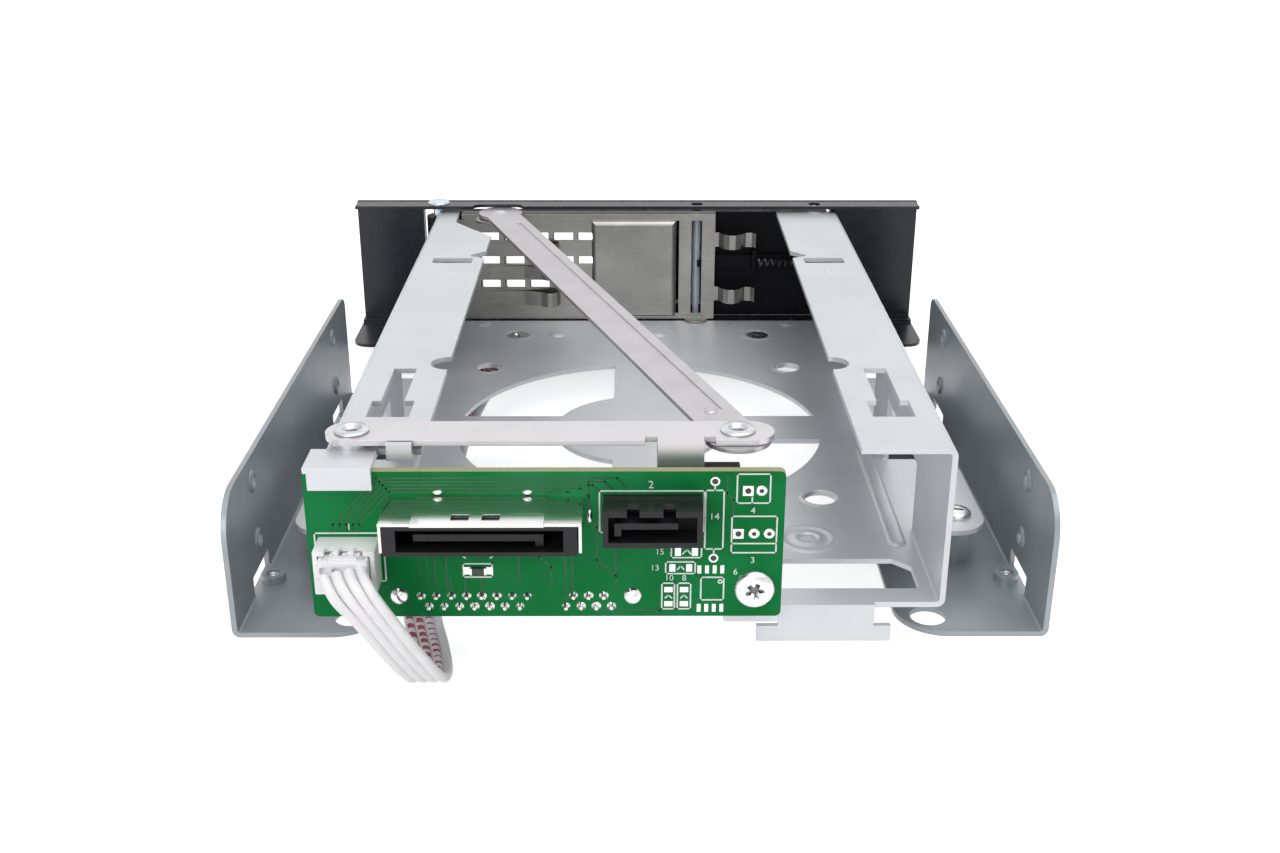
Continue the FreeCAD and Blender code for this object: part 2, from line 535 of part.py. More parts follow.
def bezel_frame():
    """Steel frame: panel round the door, top flange and the shelf screwed under the cage's base."""
    body = new_body("bezel_frame")
    edge, front = "bezel_half - bezel_inset", "joint - face_back"
    across, shelf = ("-(%s)" % edge, edge), "shelf_top - shelf_sheet"
    add_block(body, across, (front, "-panel_back"), (shelf, "bezel_top"))
    add_block(body, across, (front, "-flange_rear"), ("bezel_top - flange_sheet", "bezel_top"))
    add_block(body, across, (front, "-shelf_rear"), (shelf, "shelf_top"))
    for side in (1, -1):
        add_block(body, (sided(side, "cage_half + 1"), sided(side, edge)), (front, "-flange_rear"),
                  ("shelf_top - joint", "shelf_top + shelf_lip"))
    cut_block(body, ("-opening_right", "opening_left"), ("-face_back - 1", "-panel_back + joint"),
              ("opening_bottom", "bezel_top - flange_sheet"))
    cut_block(body, ("relief_right", "relief_left"), ("-relief_front", "-flange_rear + 1"),
              ("bezel_top - flange_sheet - 1", "bezel_top + 1"))
    notch = -SIZES["relief_front"]
    round_edges(body, "2", lambda m, d: abs(d.z) > 0.99 and near(m.y, notch))
    rear = -SIZES["shelf_rear"]
    round_edges(body, "shelf_corner", lambda m, d: abs(d.z) > 0.99 and near(m.y, rear))
    hinge = [("hinge_across", "-hinge_back")]
    cut_discs(body, "XY_Plane", "bezel_top + 1", hinge, "hinge_pin + 0.02", "bezel_top")
    pin_hole = [("-handle_pin_across", "-flange_hole_back")]
    cut_discs(body, "XY_Plane", "bezel_top + 1", pin_hole, "flange_hole", "3")
    cut_block(body, ("-flange_slot_outer", "-flange_slot_inner"), ("-flange_slot_front", "-flange_slot_rear"),
              ("bezel_top - 2", "bezel_top + 1"))
    ends = (-SIZES["flange_slot_outer"], -SIZES["flange_slot_inner"])
    slot_radius = "(flange_slot_outer - flange_slot_inner) / 2 - 0.01"
    round_edges(body, slot_radius, lambda m, d: abs(d.z) > 0.99 and any(near(m.x, end) for end in ends))
    screws = [("dish_across", "-dish_back"), ("-dish_across", "-dish_back")]
    cut_discs(body, "XY_Plane", "bezel_top", screws, "post_screw + 0.05", "bezel_top")
    return body


def bezel_screws():
    """Countersunk screws that join the shelf to the cage's base, flush inside the bay."""
    body = new_body("bezel_screws")
    places = [("dish_across", "-dish_back"), ("-dish_across", "-dish_back")]
    add_discs(body, "XY_Plane", "cage_floor - 3", places, "post_screw", "sheet + 2.9")
    add_cones(body, "cage_floor + sheet", places, "dish_radius - 0.05", "sheet - 0.02")
    return body


def light_places():
    return [("light_right", "light_up"), ("light_left", "light_up")]


def front_bezel():
    """Moulded black face over the whole bay front, open for the door and two status lights."""
    body = new_body("front_bezel")
    add_block(body, ("-bezel_half", "bezel_half"), ("-bezel_front", "-face_back"),
              ("bezel_bottom", "bezel_top"))
    cut_block(body, ("-opening_right", "opening_left"), ("-bezel_front - 1", "-face_back + 1"),
              ("opening_bottom", "bezel_top - flange_sheet"))
    cut_discs(body, "XZ_Plane", "bezel_front + 1", light_places(), "light_radius + light_room", "5")
    front, half = -SIZES["bezel_front"], SIZES["bezel_half"]
    top, bottom = SIZES["bezel_top"], SIZES["bezel_bottom"]
    outer = lambda m: near(abs(m.x), half) or near(m.z, top) or near(m.z, bottom)
    round_edges(body, "bezel_edge", lambda m, d: near(m.y, front) and outer(m))
    return body


def door_hinge_pin():
    body = new_body("door_hinge_pin")
    hinge = [("hinge_across", "-hinge_back")]
    foot = "shelf_top - shelf_sheet - hinge_end"
    add_discs(body, "XY_Plane", foot, hinge, "hinge_pin", "bezel_top + joint - (%s)" % foot)
    add_discs(body, "XY_Plane", "bezel_top", hinge, "hinge_head", "hinge_head_height")
    crown = body.Shape.BoundBox.ZMax
    bevel_rims(body, "0.6", lambda centre: near(centre.z, crown))
    return body


VENT_ROWS, VENT_COLUMNS = 3, 5


def vent_slots(body, front, back, drop="0"):
    """Rows of air slots through the door or its plate, opened downwards by the drop."""
    for row in range(VENT_ROWS):
        for column in range(VENT_COLUMNS):
            middle = "vent_first_across - vent_step_across * %d" % column
            height = "vent_first_up - vent_step_up * %d" % row
            slot = corners(("%s - vent_half_wide" % middle, "%s + vent_half_wide" % middle),
                           ("%s - vent_half_tall - %s" % (height, drop), "%s + vent_half_tall" % height))
            cut_shape(body, "XZ_Plane", "-(%s)" % front, slot, "(%s) - (%s)" % (back, front))


def door_panel():
    """Moulded door: hinge barrel, handle recess, latch channel and the stop for the latch spring."""
    body = new_body("door_panel")
    through = ("-door_front - 1", "-door_back + 1")
    add_block(body, ("-door_right", "hinge_across"), ("-door_front", "-door_back"),
              ("door_bottom", "door_top"))
    hinge = [("hinge_across", "-hinge_back")]
    barrel = "cage_top - sheet - 0.4 - door_bottom"
    add_discs(body, "XY_Plane", "door_bottom", hinge, "barrel", barrel)
    cut_discs(body, "XY_Plane", "door_top + 1", hinge, "hinge_pin + 0.05", "door_top + 2")
    cut_block(body, ("-recess_right", "recess_left"), through, ("recess_bottom", "recess_top"))
    pin = [("-handle_pin_across", "-handle_pin_back")]
    cut_discs(body, "XY_Plane", "door_top + 1", pin, "handle_pin + 0.02", "door_top + 2")
    cut_block(body, ("-door_right - 1", "-channel_inner"), ("-channel_front", through[1]),
              ("channel_bottom", "channel_top"))
    stop = ("-stop_outer", "-stop_inner")
    add_block(body, stop, ("-door_back - joint", "-stop_rear"), ("stop_bar", "stop_top"))
    add_block(body, stop, ("-stop_front", "-stop_rear"), ("stop_bottom", "stop_bar + joint"))
    vent_slots(body, *through, drop="vent_drop")
    front, top, bottom = -SIZES["door_front"], SIZES["door_top"], SIZES["door_bottom"]
    long_edge = lambda m, d: abs(d.x) > 0.9 and near(m.y, front)
    round_edges(body, "door_edge", lambda m, d: long_edge(m, d) and (near(m.z, top) or near(m.z, bottom)))
    return body


def finger(body, points, sheet, low, high):
    """Bowed leaf spring: a strip of sheet that follows the points, seen from above."""
    behind = [(across, "(%s) + %s" % (back, sheet)) for across, back in points]
    add_shape(body, "XY_Plane", low, points + list(reversed(behind)), "(%s) - (%s)" % (high, low))


# springs on the door's plate seen from above, as expressions across and towards the rear
RIGHT_BOW = [("-19.2", "-88.4"), ("-21.4", "-88.4"), ("-22.6", "-86.2"), ("-24.0", "-85.2"),
             ("-25.6", "-85.2"), ("-27.0", "-86.2"), ("-28.4", "-88.0"), ("-30.0", "-88.0"), ("-31.0", "-87.0")]
RIGHT_BOW_HEIGHTS = (("30.4", "34.2"), ("15.6", "19.4"))
LEFT_BOW = [("39.0", "-88.2"), ("30.0", "-87.6"), ("25.5", "-86.4"), ("23.8", "-85.2"), ("22.6", "-85.2"),
            ("21.4", "-86.2"), ("20.6", "-88.2")]
LEFT_BOW_HEIGHTS = (("28.4", "31.6"), ("22.0", "25.2"), ("14.6", "18.4"))


def door_plate():
    """Spring-steel plate on the door's back: air slots, finger pocket, leaf springs and link lug."""
    body = new_body("door_plate")
    front = "-plate_back - plate_sheet"
    across = ("-plate_right", "plate_left")
    add_block(body, across, (front, "-plate_back"), ("plate_bottom", "plate_top"))
    flanges = (("plate_top - plate_sheet", "plate_top"), ("plate_bottom", "plate_bottom + plate_sheet"))
    for low, high in flanges:
        add_block(body, across, ("-door_back", "-plate_back"), (low, high))
    add_block(body, ("-pocket_right", "pocket_left"), ("-plate_back - joint", "-pocket_back"),
              ("pocket_bottom", "pocket_top"))
    cut_block(body, ("plate_sheet - pocket_right", "pocket_left - plate_sheet"),
              (front + " - joint", "-pocket_back - plate_sheet"),
              ("pocket_bottom + plate_sheet", "pocket_top - plate_sheet"))
    bulge = -SIZES["pocket_back"]
    round_edges(body, "pocket_radius", lambda m, d: near(m.y, bulge))
    vent_slots(body, front + " - 1", "-plate_back + 1")
    clear = (front + " - joint", "-plate_back + joint")
    pin = "-handle_pin_across"
    for left, right in (("-10.9", "-10.1"), (pin + " - 1.3", pin + " + 1.4")):
        cut_block(body, (left, right), clear, ("cut_bottom", "cut_top"))
    cut_block(body, ("plate_left - 2", "plate_left + 1"), ("-door_back - 1", "-plate_back + 1"),
              ("plate_top - 1.5", "plate_top + 1"))
    pivot, lug = "link_pivot_across", ("link_pivot_across - lug_half", "link_pivot_across + lug_half")
    add_block(body, lug, ("-plate_back - joint", "-lug_rear"), ("plate_top - lug_sheet", "plate_top"))
    cut_block(body, (pivot + " - lug_hole_half", pivot + " + lug_hole_half - 0.05"),
              ("-link_pivot_front - lug_hole_front", "-link_pivot_front + lug_hole_half - 0.05"),
              ("plate_top - 2 * lug_sheet", "plate_top + 1"))
    reach = -SIZES["lug_rear"]
    round_edges(body, "lug_radius", lambda m, d: abs(d.z) > 0.99 and near(m.y, reach))
    add_discs(body, "XY_Plane", "plate_bottom", [(pin, "-plate_back + 0.4")], "ring_radius", "plate_sheet")
    for points, heights in ((RIGHT_BOW, RIGHT_BOW_HEIGHTS), (LEFT_BOW, LEFT_BOW_HEIGHTS)):
        for low, high in heights:
            finger(body, points, "leaf_sheet", low, high)
    return body


def handle_pin():
    body = new_body("handle_pin")
    pin = [("-handle_pin_across", "-handle_pin_back")]
    add_discs(body, "XY_Plane", "door_bottom + 0.3", pin, "handle_pin", "door_top - door_bottom - 0.6")
    return body


def door_handle():
    """Pull handle: a flush plate whose open knuckle turns on the pin, with an arm for the latch."""
    body = new_body("door_handle")
    tall = ("handle_bottom", "handle_top")
    add_block(body, ("-handle_right", "handle_left"), ("-door_front", "-handle_back"), tall)
    add_block(body, ("-handle_right", "-knuckle_left"), ("-knuckle_front", "-knuckle_back"), tall)
    pin = [("-handle_pin_across", "-handle_pin_back")]
    above = "handle_top + 1"
    cut_discs(body, "XY_Plane", above, pin, "handle_pin + 0.06", "handle_top + 2 - handle_bottom")
    cut_block(body, ("-handle_pin_across - knuckle_gap", "-handle_pin_across + knuckle_gap"),
              ("-handle_pin_back", "-knuckle_back + 1"), ("handle_bottom - 1", above))
    cut_block(body, ("-handle_right - 1", "-pass_left"), ("0.2 - handle_back", "-knuckle_back + 1"),
              ("pass_bottom", "pass_top"))
    add_block(body, ("-peg_across - arm_half", "-peg_across + arm_half"), ("-handle_back", "-peg_back + peg"),
              ("arm_bottom", "arm_top"))
    add_discs(body, "XY_Plane", "peg_bottom", [("-peg_across", "-peg_back")], "peg",
              "arm_bottom + joint - peg_bottom")
    front = -SIZES["door_front"]
    round_edges(body, "handle_edge", lambda m, d: near(m.y, front))
    return body


def latch_slider():
    """Sliding catch: a nose behind the bezel frame, a slotted tongue for the peg and a spring post."""
    body = new_body("latch_slider")
    add_block(body, ("-catch_outer", "-catch_inner"), ("-catch_front", "-tongue_back"),
              ("catch_bottom", "catch_top"))
    add_block(body, ("-catch_inner - joint", "-tongue_inner"), ("-tongue_front", "-tongue_back"),
              ("tongue_bottom", "tongue_top"))
    add_block(body, ("-spring_post_outer", "-spring_post_inner"), ("-tongue_back - joint", "-spring_post_back"),
              ("tongue_bottom", "tongue_top + 0.2"))
    add_block(body, ("-tongue_inner - 0.2", "-peg_across + 1.9"), ("-tongue_front", "-peg_back + 1.6"),
              ("eye_bottom", "eye_top"))
    cut_block(body, ("-peg_across - peg - joint", "-peg_across + peg + joint"),
              ("-peg_back - 0.7", "-peg_back + 1.4"), ("eye_bottom - 1", "eye_top + 0.6"))
    return body


def latch_spring():
    """Small compression spring between the door's stop and the latch's post."""
    body = new_body("latch_spring")
    sketch = sketch_on(body, "XZ_Plane", "coil_back")
    sketch.setExpression("AttachmentOffset.Base.x", bound("-coil_start"))
    sketch.setExpression("AttachmentOffset.Base.y", bound("coil_up"))
    outline(sketch, corners(("joint", "joint + spring_wire"), ("coil_radius", "coil_radius + spring_wire")))
    coil = body.newObject("PartDesign::AdditiveHelix", "coil")
    coil.Profile = sketch
    coil.ReferenceAxis = (sketch, ["H_Axis"])
    coil.Mode = 1
    coil.setExpression("Pitch", bound("spring_pitch"))
    coil.setExpression("Turns", bound("coil_turns"))
    DOC.recompute()
    return body


# ---- eject linkage -----------------------------------------------------------------------------

def eject_lever():
    """Flat lever over the rear of the cage, with the tab that carries the pusher."""
    body = new_body("eject_lever")
    low, high = "lever_floor", "lever_floor + lever_sheet"
    middle = "lever_pivot_back - joint"
    add_block(body, ("-lever_right", "lever_left"), (middle + " - lever_half", middle + " + lever_half"),
              (low, high))
    round_edges(body, "lever_half - 0.05", lambda m, d: abs(d.z) > 0.99)
    rear = middle + " + lever_half"
    notches = (("-pusher_left", "pusher_notch_wide - pusher_left"),
               ("joint - pusher_notch_wide - pusher_right", "-pusher_right"))
    for left, right in notches:
        cut_block(body, (left, right), (rear + " - pusher_notch", rear + " + 1"),
                  (low + " - 1", high + " + 1"))
    tab, end = ("-pusher_right", "-pusher_left"), rear + " + pusher_reach"
    add_block(body, tab, (rear + " - joint", end), (low, high))
    add_block(body, tab, (end + " - lever_sheet", end), ("pusher_bottom", high))
    pivots = [("lever_pivot_across", "lever_pivot_back"), ("-lever_end_across", "lever_end_back")]
    cut_discs(body, "XY_Plane", high + " + 1", pivots, "pivot_hole", "3")
    return body


def pusher_pad():
    """Black plastic pusher clipped to the lever's tab, which meets the disk's rear face."""
    body = new_body("pusher_pad")
    add_block(body, ("-pusher_right", "-pusher_left"), ("pad_front", "pad_rear"), ("pad_bottom", "pad_top"))
    add_block(body, ("-pad_right", "-pusher_left"), ("pad_step", "pad_rear"), ("pad_bottom", "pad_shoulder"))
    return body


def link_bar():
    """Long pressed link from the door's lug to the lever, with a shallow groove down its length."""
    body = new_body("link_bar")
    floor, top = "link_floor", "link_floor + link_sheet"
    add_block(body, ("0.001", "link_length"), ("-link_half", "link_half"), (floor, top))
    ends = [("0.001", "0.001"), ("link_length", "0.001")]
    add_discs(body, "XY_Plane", floor, ends, "link_head", "link_sheet")
    cut_discs(body, "XY_Plane", top + " + 1", ends, "pivot_hole", "3")
    cut_block(body, ("groove_end", "link_length - groove_end"), ("groove_near", "groove_far"),
              (top + " - groove_depth", top + " + 1"))
    body.Placement = FreeCAD.Placement(
        FreeCAD.Vector(SIZES["link_pivot_across"], -SIZES["link_pivot_front"], 0),
        FreeCAD.Rotation(UP, LINK_TURN))
    return body


def lever_rivet():
    """Shouldered rivet that holds the lever above the rail."""
    body = new_body("lever_rivet")
    spot = [("lever_pivot_across", "lever_pivot_back")]
    top = "lever_floor + lever_sheet"
    add_discs(body, "XY_Plane", "cage_top", spot, "rivet_washer", "lever_floor - cage_top - rivet_room")
    add_discs(body, "XY_Plane", "cage_top", spot, "pivot_shank", top + " - cage_top + joint")
    add_discs(body, "XY_Plane", top + " + rivet_room", spot, "rivet_head", "rivet_head_height")
    return body


def link_rear_rivet():
    """Rivet through the lever and the link's rear end."""
    body = new_body("link_rear_rivet")
    spot = [("-lever_end_across", "lever_end_back")]
    top, low = "lever_floor + lever_sheet", "link_floor - joint - 0.8"
    add_discs(body, "XY_Plane", low, spot, "rear_rivet_washer", "0.8")
    add_discs(body, "XY_Plane", low, spot, "pivot_shank", "%s + 0.1 - (%s)" % (top, low))
    add_discs(body, "XY_Plane", top + " + 0.05", spot, "rear_rivet_head", "rivet_head_height")
    return body


def link_front_rivet():
    """Flush rivet at the link's door end, free to shift in the lug's wide hole."""
    body = new_body("link_front_rivet")
    spot = [("link_pivot_across", "-link_pivot_front")]
    add_discs(body, "XY_Plane", "front_rivet_low", spot, "front_rivet_shank",
              "link_floor + joint - front_rivet_low")
    add_discs(body, "XY_Plane", "link_floor", spot, "pivot_hole", "link_sheet")
    return body


# ---- circuit boards, connectors and cable --------------------------------------------------------

def rear_board():
    body = new_body("rear_board")
    add_block(body, ("-board_right", "board_left"), ("board_front", "board_back"), ("board_bottom", "board_top"))
    right, left = -SIZES["board_right"], SIZES["board_left"]
    round_edges(body, "board_corner", lambda m, d: abs(d.y) > 0.99 and (near(m.x, right) or near(m.x, left)))
    screw = [("-screw_across", "screw_up")]
    cut_discs(body, "XZ_Plane", "-board_back - 1", screw, "board_screw_hole", "4", True)
    return body


def board_screw():
    """Pan screw that holds the board to the cage's upright tab."""
    body = new_body("board_screw")
    spot = [("-screw_across", "screw_up")]
    add_discs(body, "XZ_Plane", "board_screw_end - board_front", spot, "board_screw_thread",
              "board_back - board_front + board_screw_end + joint", True)
    add_discs(body, "XZ_Plane", "-board_back", spot, "board_screw_head", "board_screw_tall", True)
    back = SIZES["board_back"] + SIZES["board_screw_tall"]
    bevel_rims(body, "board_screw_bevel", lambda centre: near(centre.y, back))
    return body


def drive_connector():
    """Socket on the board's inner face that takes the disk's data and power contacts."""
    body = new_body("drive_connector")
    add_block(body, ("-socket_right", "socket_left"), ("socket_front", "board_front"),
              ("socket_bottom", "socket_top"))
    mouths = (("socket_end_right", "socket_key_right"), ("socket_key_left", "socket_end_left"))
    for mouth in mouths:
        cut_block(body, mouth, ("socket_front - 1", "socket_front + socket_depth"),
                  ("socket_mouth_low", "socket_mouth_high"))
    return body


def power_connector():
    """Moulded power plug: a wide box with an L-shaped tongue inside."""
    body = new_body("power_connector")
    add_block(body, ("power_right", "power_left"), ("board_back", "power_back"), ("power_bottom", "power_top"))
    cut_block(body, ("power_right + power_wall", "power_left - power_wall"),
              ("power_floor", "power_back + 1"), ("power_bottom + power_skin", "power_top - power_skin"))
    deep = ("power_floor - joint", "power_tongue_back")
    add_block(body, ("power_tongue_right", "power_tongue_left"), deep,
              ("tongue_floor", "tongue_floor + tongue_thick"))
    add_block(body, ("power_tongue_right", "power_tongue_right + tongue_key"), deep,
              ("tongue_key_low", "tongue_floor + joint"))
    return body


def power_shield():
    """Folded steel cover over the power plug, raised in the middle, with lugs at its sides."""
    body = new_body("power_shield")
    raised = ("shield_high - shield_sheet - joint", "shield_high")
    add_block(body, ("shield_raised_right", "shield_raised_left"), ("board_back", "shield_back"), raised)
    wings = (("shield_right", "shield_raised_right + shield_sheet"),
             ("shield_raised_left - shield_sheet", "shield_left"))
    for wing in wings:
        add_block(body, wing, ("board_back", "shield_back - shield_sheet"), ("shield_low", raised[0] + " + 0.3"))
    lugs = (("shield_right", "shield_right + shield_sheet"), ("shield_left - shield_sheet", "shield_left"))
    for lug in lugs:
        add_block(body, lug, ("board_back", "shield_lug_back"), ("shield_lug_bottom", "shield_low + joint"))
    for right in ("shield_slot_near", "shield_slot_far"):
        cut_block(body, (right, right + " + shield_slot_wide"), ("shield_slot_front", "shield_slot_back"),
                  ("shield_low", "shield_high + 1"))
    return body


def data_connector():
    """Moulded data socket with an L-shaped tongue and two keying notches in its roof."""
    body = new_body("data_connector")
    add_block(body, ("-data_right", "data_left"), ("board_back", "data_back"), ("data_bottom", "data_top"))
    cut_block(body, ("data_skin - data_right", "data_left - data_skin"), ("data_floor", "data_back + 1"),
              ("data_bottom + data_skin", "data_top - data_skin - 0.1"))
    deep = ("data_floor - joint", "data_tongue_back")
    add_block(body, ("-data_tongue_right", "data_tongue_left"), deep,
              ("data_tongue_low", "data_tongue_low + data_key"))
    add_block(body, ("data_tongue_left - data_key", "data_tongue_left"), deep,
              ("data_key_low", "data_tongue_low + joint"))
    for start in ("-data_notch_near", "data_notch_far"):
        cut_block(body, (start, start + " + data_notch_wide"), ("data_notch_front", "data_back + 1"),
                  ("data_top - data_skin - 0.2", "data_top + 1"))
    return body


def cable_header():
    """White open-ended header on the board, which takes the cable's plug from the rear."""
    body = new_body("cable_header")
    add_block(body, ("header_right", "header_left"), ("board_back", "header_back"), ("header_bottom", "header_top"))
    cut_block(body, ("header_right + header_wall", "header_left - header_wall"),
              ("header_floor", "header_back + 1"), ("header_bottom + header_wall", "header_top - header_wall"))
    return body


def cable_plug():
    """White crimp plug in the header, with a low rib on its roof."""
    body = new_body("cable_plug")
    add_block(body, ("plug_right", "plug_left"), ("plug_front", "plug_back"), ("plug_bottom", "plug_top"))
    add_block(body, ("plug_key_right", "plug_key_left"), ("header_back + joint", "plug_key_back"),
              ("plug_top - joint", "plug_key_top"))
    return body


def solder_pins():
    """Solder joints of the disk's socket on the board's rear face, two staggered rows and two posts."""
    body = new_body("solder_pins")
    rows = (("pin_first_upper", "pin_upper", 8), ("pin_gap_upper", "pin_upper", 3),
            ("pin_first_lower", "pin_lower", 7), ("pin_gap_lower", "pin_lower", 4))
    pins = [("%s - pin_pitch * %d" % (first, i), up) for first, up, count in rows for i in range(count)]
    add_hexagons(body, "XZ_Plane", "-board_back", pins, "pin_radius", "pin_height", True)
    posts = [("post_pin_left", "pin_upper"), ("post_pin_right", "pin_upper")]
    add_hexagons(body, "XZ_Plane", "-board_back", posts, "post_pin_radius", "post_pin_height", True)
    return body


def board_parts():
    """Two chip resistors on the rear face."""
    body = new_body("board_parts")
    for low in ("chip_low", "chip_high"):
        add_block(body, ("chip_right", "chip_left"), ("board_back", "board_back + chip_height"),
                  (low, low + " + chip_tall"))
    return body


def light_board():
    """Small board behind the lower bezel strip, with the cable's front socket on its back."""
    body = new_body("light_board")
    add_block(body, ("light_board_right", "light_board_left"), ("-light_board_front", "-light_board_back"),
              ("light_board_bottom", "light_board_top"))
    return body


def light_socket():
    body = new_body("light_socket")
    add_block(body, ("light_socket_right", "light_socket_left"), ("-light_board_back", "-light_socket_back"),
              ("light_socket_bottom", "light_socket_top"))
    return body


def status_lights():
    body = new_body("status_lights")
    add_discs(body, "XZ_Plane", "light_board_front", light_places(), "light_radius", "light_length")
    return body


CABLE_ROUTE = [
    (48.0, 78.9, 23.9), (46.8, 82.1, 22.9), (42.8, 82.5, 17.3), (38.9, 80.8, 9.8), (35.9, 77.8, 3.3),
    (35.1, 74.0, 1.6), (35.8, 66.0, 1.5), (36.9, 54.0, 1.5), (38.4, 36.0, 1.5), (37.2, 5.0, 1.5),
    (38.4, -28.0, 1.5), (37.6, -52.0, 1.5), (37.2, -66.0, 2.6), (37.0, -76.0, 4.4), (37.0, -86.0, 4.4)]
CABLE_RADIUS = 1.3


def rounded_path(points):
    """Straight runs joined by tangent arcs, each arc as large as its two runs allow."""
    corners_in = [FreeCAD.Vector(*point) for point in points]
    edges, start, radii = [], corners_in[0], []
    for before, corner, after in zip(corners_in, corners_in[1:], corners_in[2:]):
        back, ahead = (before - corner), (after - corner)
        reach = 0.45 * min(back.Length, ahead.Length)
        turn = math.pi - back.getAngle(ahead)
        radii.append(reach / math.tan(turn / 2))
        back.normalize()
        ahead.normalize()
        enter, leave = corner + back * reach, corner + ahead * reach
        bisector = back + ahead
        bisector.normalize()
        radius = radii[-1]
        centre = corner + bisector * (radius / math.cos(turn / 2))
        middle = centre - bisector * radius
        edges += [Part.LineSegment(start, enter).toShape(), Part.Arc(enter, middle, leave).toShape()]
        start = leave
    edges.append(Part.LineSegment(start, corners_in[-1]).toShape())
    return Part.Wire(edges), radii


def ribbon_cable():
    """Plain eight-sided tube along the flat cable's route from the rear plug to the light board."""
    path, radii = rounded_path(CABLE_ROUTE)
    first, second = (FreeCAD.Vector(*point) for point in CABLE_ROUTE[:2])
    turned = FreeCAD.Rotation(UP, second - first)
    steps = [math.radians(45 * i) for i in range(9)]
    ring = Part.makePolygon([first + turned.multVec(FreeCAD.Vector(math.cos(a), math.sin(a), 0)) * CABLE_RADIUS
                             for a in steps])
    tube = path.makePipeShell([ring], True, False)
    part = DOC.addObject("Part::Feature", "ribbon_cable")
    part.Label = "ribbon_cable"
    part.Shape = tube
    part.Placement = FreeCAD.Placement()
    section = 4 * math.sin(math.radians(45)) * CABLE_RADIUS ** 2
    print("cable length %.1f mm, radii %s, volume ratio %.4f" % (
        path.Length, [round(radius, 1) for radius in radii], tube.Volume / (section * path.Length)))
    BODIES.append(part)
    return part


def build():
    cage()
    bracket(1, "bracket_left")
    bracket(-1, "bracket_right")
    standoffs()
    pan_screws("standoff_screws", post_places(), "cage_floor + sheet", "6", "post_screw", "pan_radius",
               "pan_height")
    bezel_frame()
    bezel_screws()
    front_bezel()
    door_hinge_pin()
    door_panel()
    door_plate()
    handle_pin()
    door_handle()
    latch_slider()
    latch_spring()
    eject_lever()
    pusher_pad()
    link_bar()
    lever_rivet()
    link_rear_rivet()
    link_front_rivet()
    rear_board()
    board_screw()
    drive_connector()
    power_connector()
    power_shield()
    data_connector()
    cable_header()
    cable_plug()
    solder_pins()
    board_parts()
    light_board()
    light_socket()
    status_lights()
    ribbon_cable()


def export():
    """Write one STEP file per sub-part, once every object has proved sound."""
    DOC.recompute()
    for item in DOC.Objects:
        if "Invalid" in item.State or "Error" in item.State:
            raise ValueError("%s failed to build: %s" % (item.Name, item.State))
    for body in BODIES:
        if body.Shape.isNull() or not body.Shape.isValid():
            raise ValueError("%s has no sound shape" % body.Label)
    os.makedirs("parts", exist_ok=True)
    for body in BODIES:
        body.Shape.exportStep("parts/%s.step" % body.Label)
        print("%-18s %d solid(s) %9.1f mm3" % (body.Label, len(body.Shape.Solids), body.Shape.Volume))


build()
export()
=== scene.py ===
"""Looks of the open drive cage: finishes, board print, solder, screw heads and the flat cable.

Axes are the frame's: +Z up, +X towards the door's hinge, -Y to the front. Shapes are drawn in
millimetres, and piece() brings them to the frame's metres. Profiles are (radius, height) pairs.
"""

import bmesh
import bpy
import math
from mathutils import Matrix, Vector

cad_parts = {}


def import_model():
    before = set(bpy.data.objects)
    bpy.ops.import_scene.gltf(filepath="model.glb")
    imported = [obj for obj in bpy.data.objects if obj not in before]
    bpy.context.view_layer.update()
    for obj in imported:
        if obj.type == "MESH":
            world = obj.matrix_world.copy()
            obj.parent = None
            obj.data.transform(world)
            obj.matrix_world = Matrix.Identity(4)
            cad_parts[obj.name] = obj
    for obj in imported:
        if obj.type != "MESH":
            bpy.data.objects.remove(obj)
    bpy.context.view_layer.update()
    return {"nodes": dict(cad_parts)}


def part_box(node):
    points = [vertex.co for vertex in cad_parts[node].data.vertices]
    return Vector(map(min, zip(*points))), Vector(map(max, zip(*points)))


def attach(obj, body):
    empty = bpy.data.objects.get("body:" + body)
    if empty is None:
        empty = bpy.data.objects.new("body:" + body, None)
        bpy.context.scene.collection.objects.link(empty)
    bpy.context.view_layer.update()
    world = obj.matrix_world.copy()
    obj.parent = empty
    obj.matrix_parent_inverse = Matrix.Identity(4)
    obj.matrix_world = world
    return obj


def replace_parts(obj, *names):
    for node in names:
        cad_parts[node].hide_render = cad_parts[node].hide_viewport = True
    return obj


MM = 0.001
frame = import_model()
NODES = frame["nodes"]

# Places in millimetres; a pair is the X and Y of an upright axis.
BASE_TOP = 10.2
RAIL_TOP = 39.2
FACE = 71.0                         # Y of the board's rear face
LEVER_PIVOT = (48.2, 61.6)
LINK_REAR_PIVOT = (-16.1, 61.4)
LINK_FRONT_PIVOT = (35.6, -86.1)
HINGE_AXIS = (52.2, -92.0)
HANDLE_AXIS = (-15.6, -92.4)
STANDOFF_ACROSS = 61.6
STANDOFF_BACKS = (30.3, -24.0)
BEZEL_SCREW_ACROSS = 31.2
BEZEL_SCREW_BACK = -75.5
BAY_HOLE_BACKS = (79.25 / 2, -79.25 / 2)
BAY_HOLE_ROWS = (9.91, 21.84)
BAY_HOLE_ACROSS = 69.85
SIDES = (1, -1)
UP = (0, 0, 1)
REARWARDS = (0, 1, 0)
THREAD_PITCH = 0.5


# ---- materials ---------------------------------------------------------------------------------

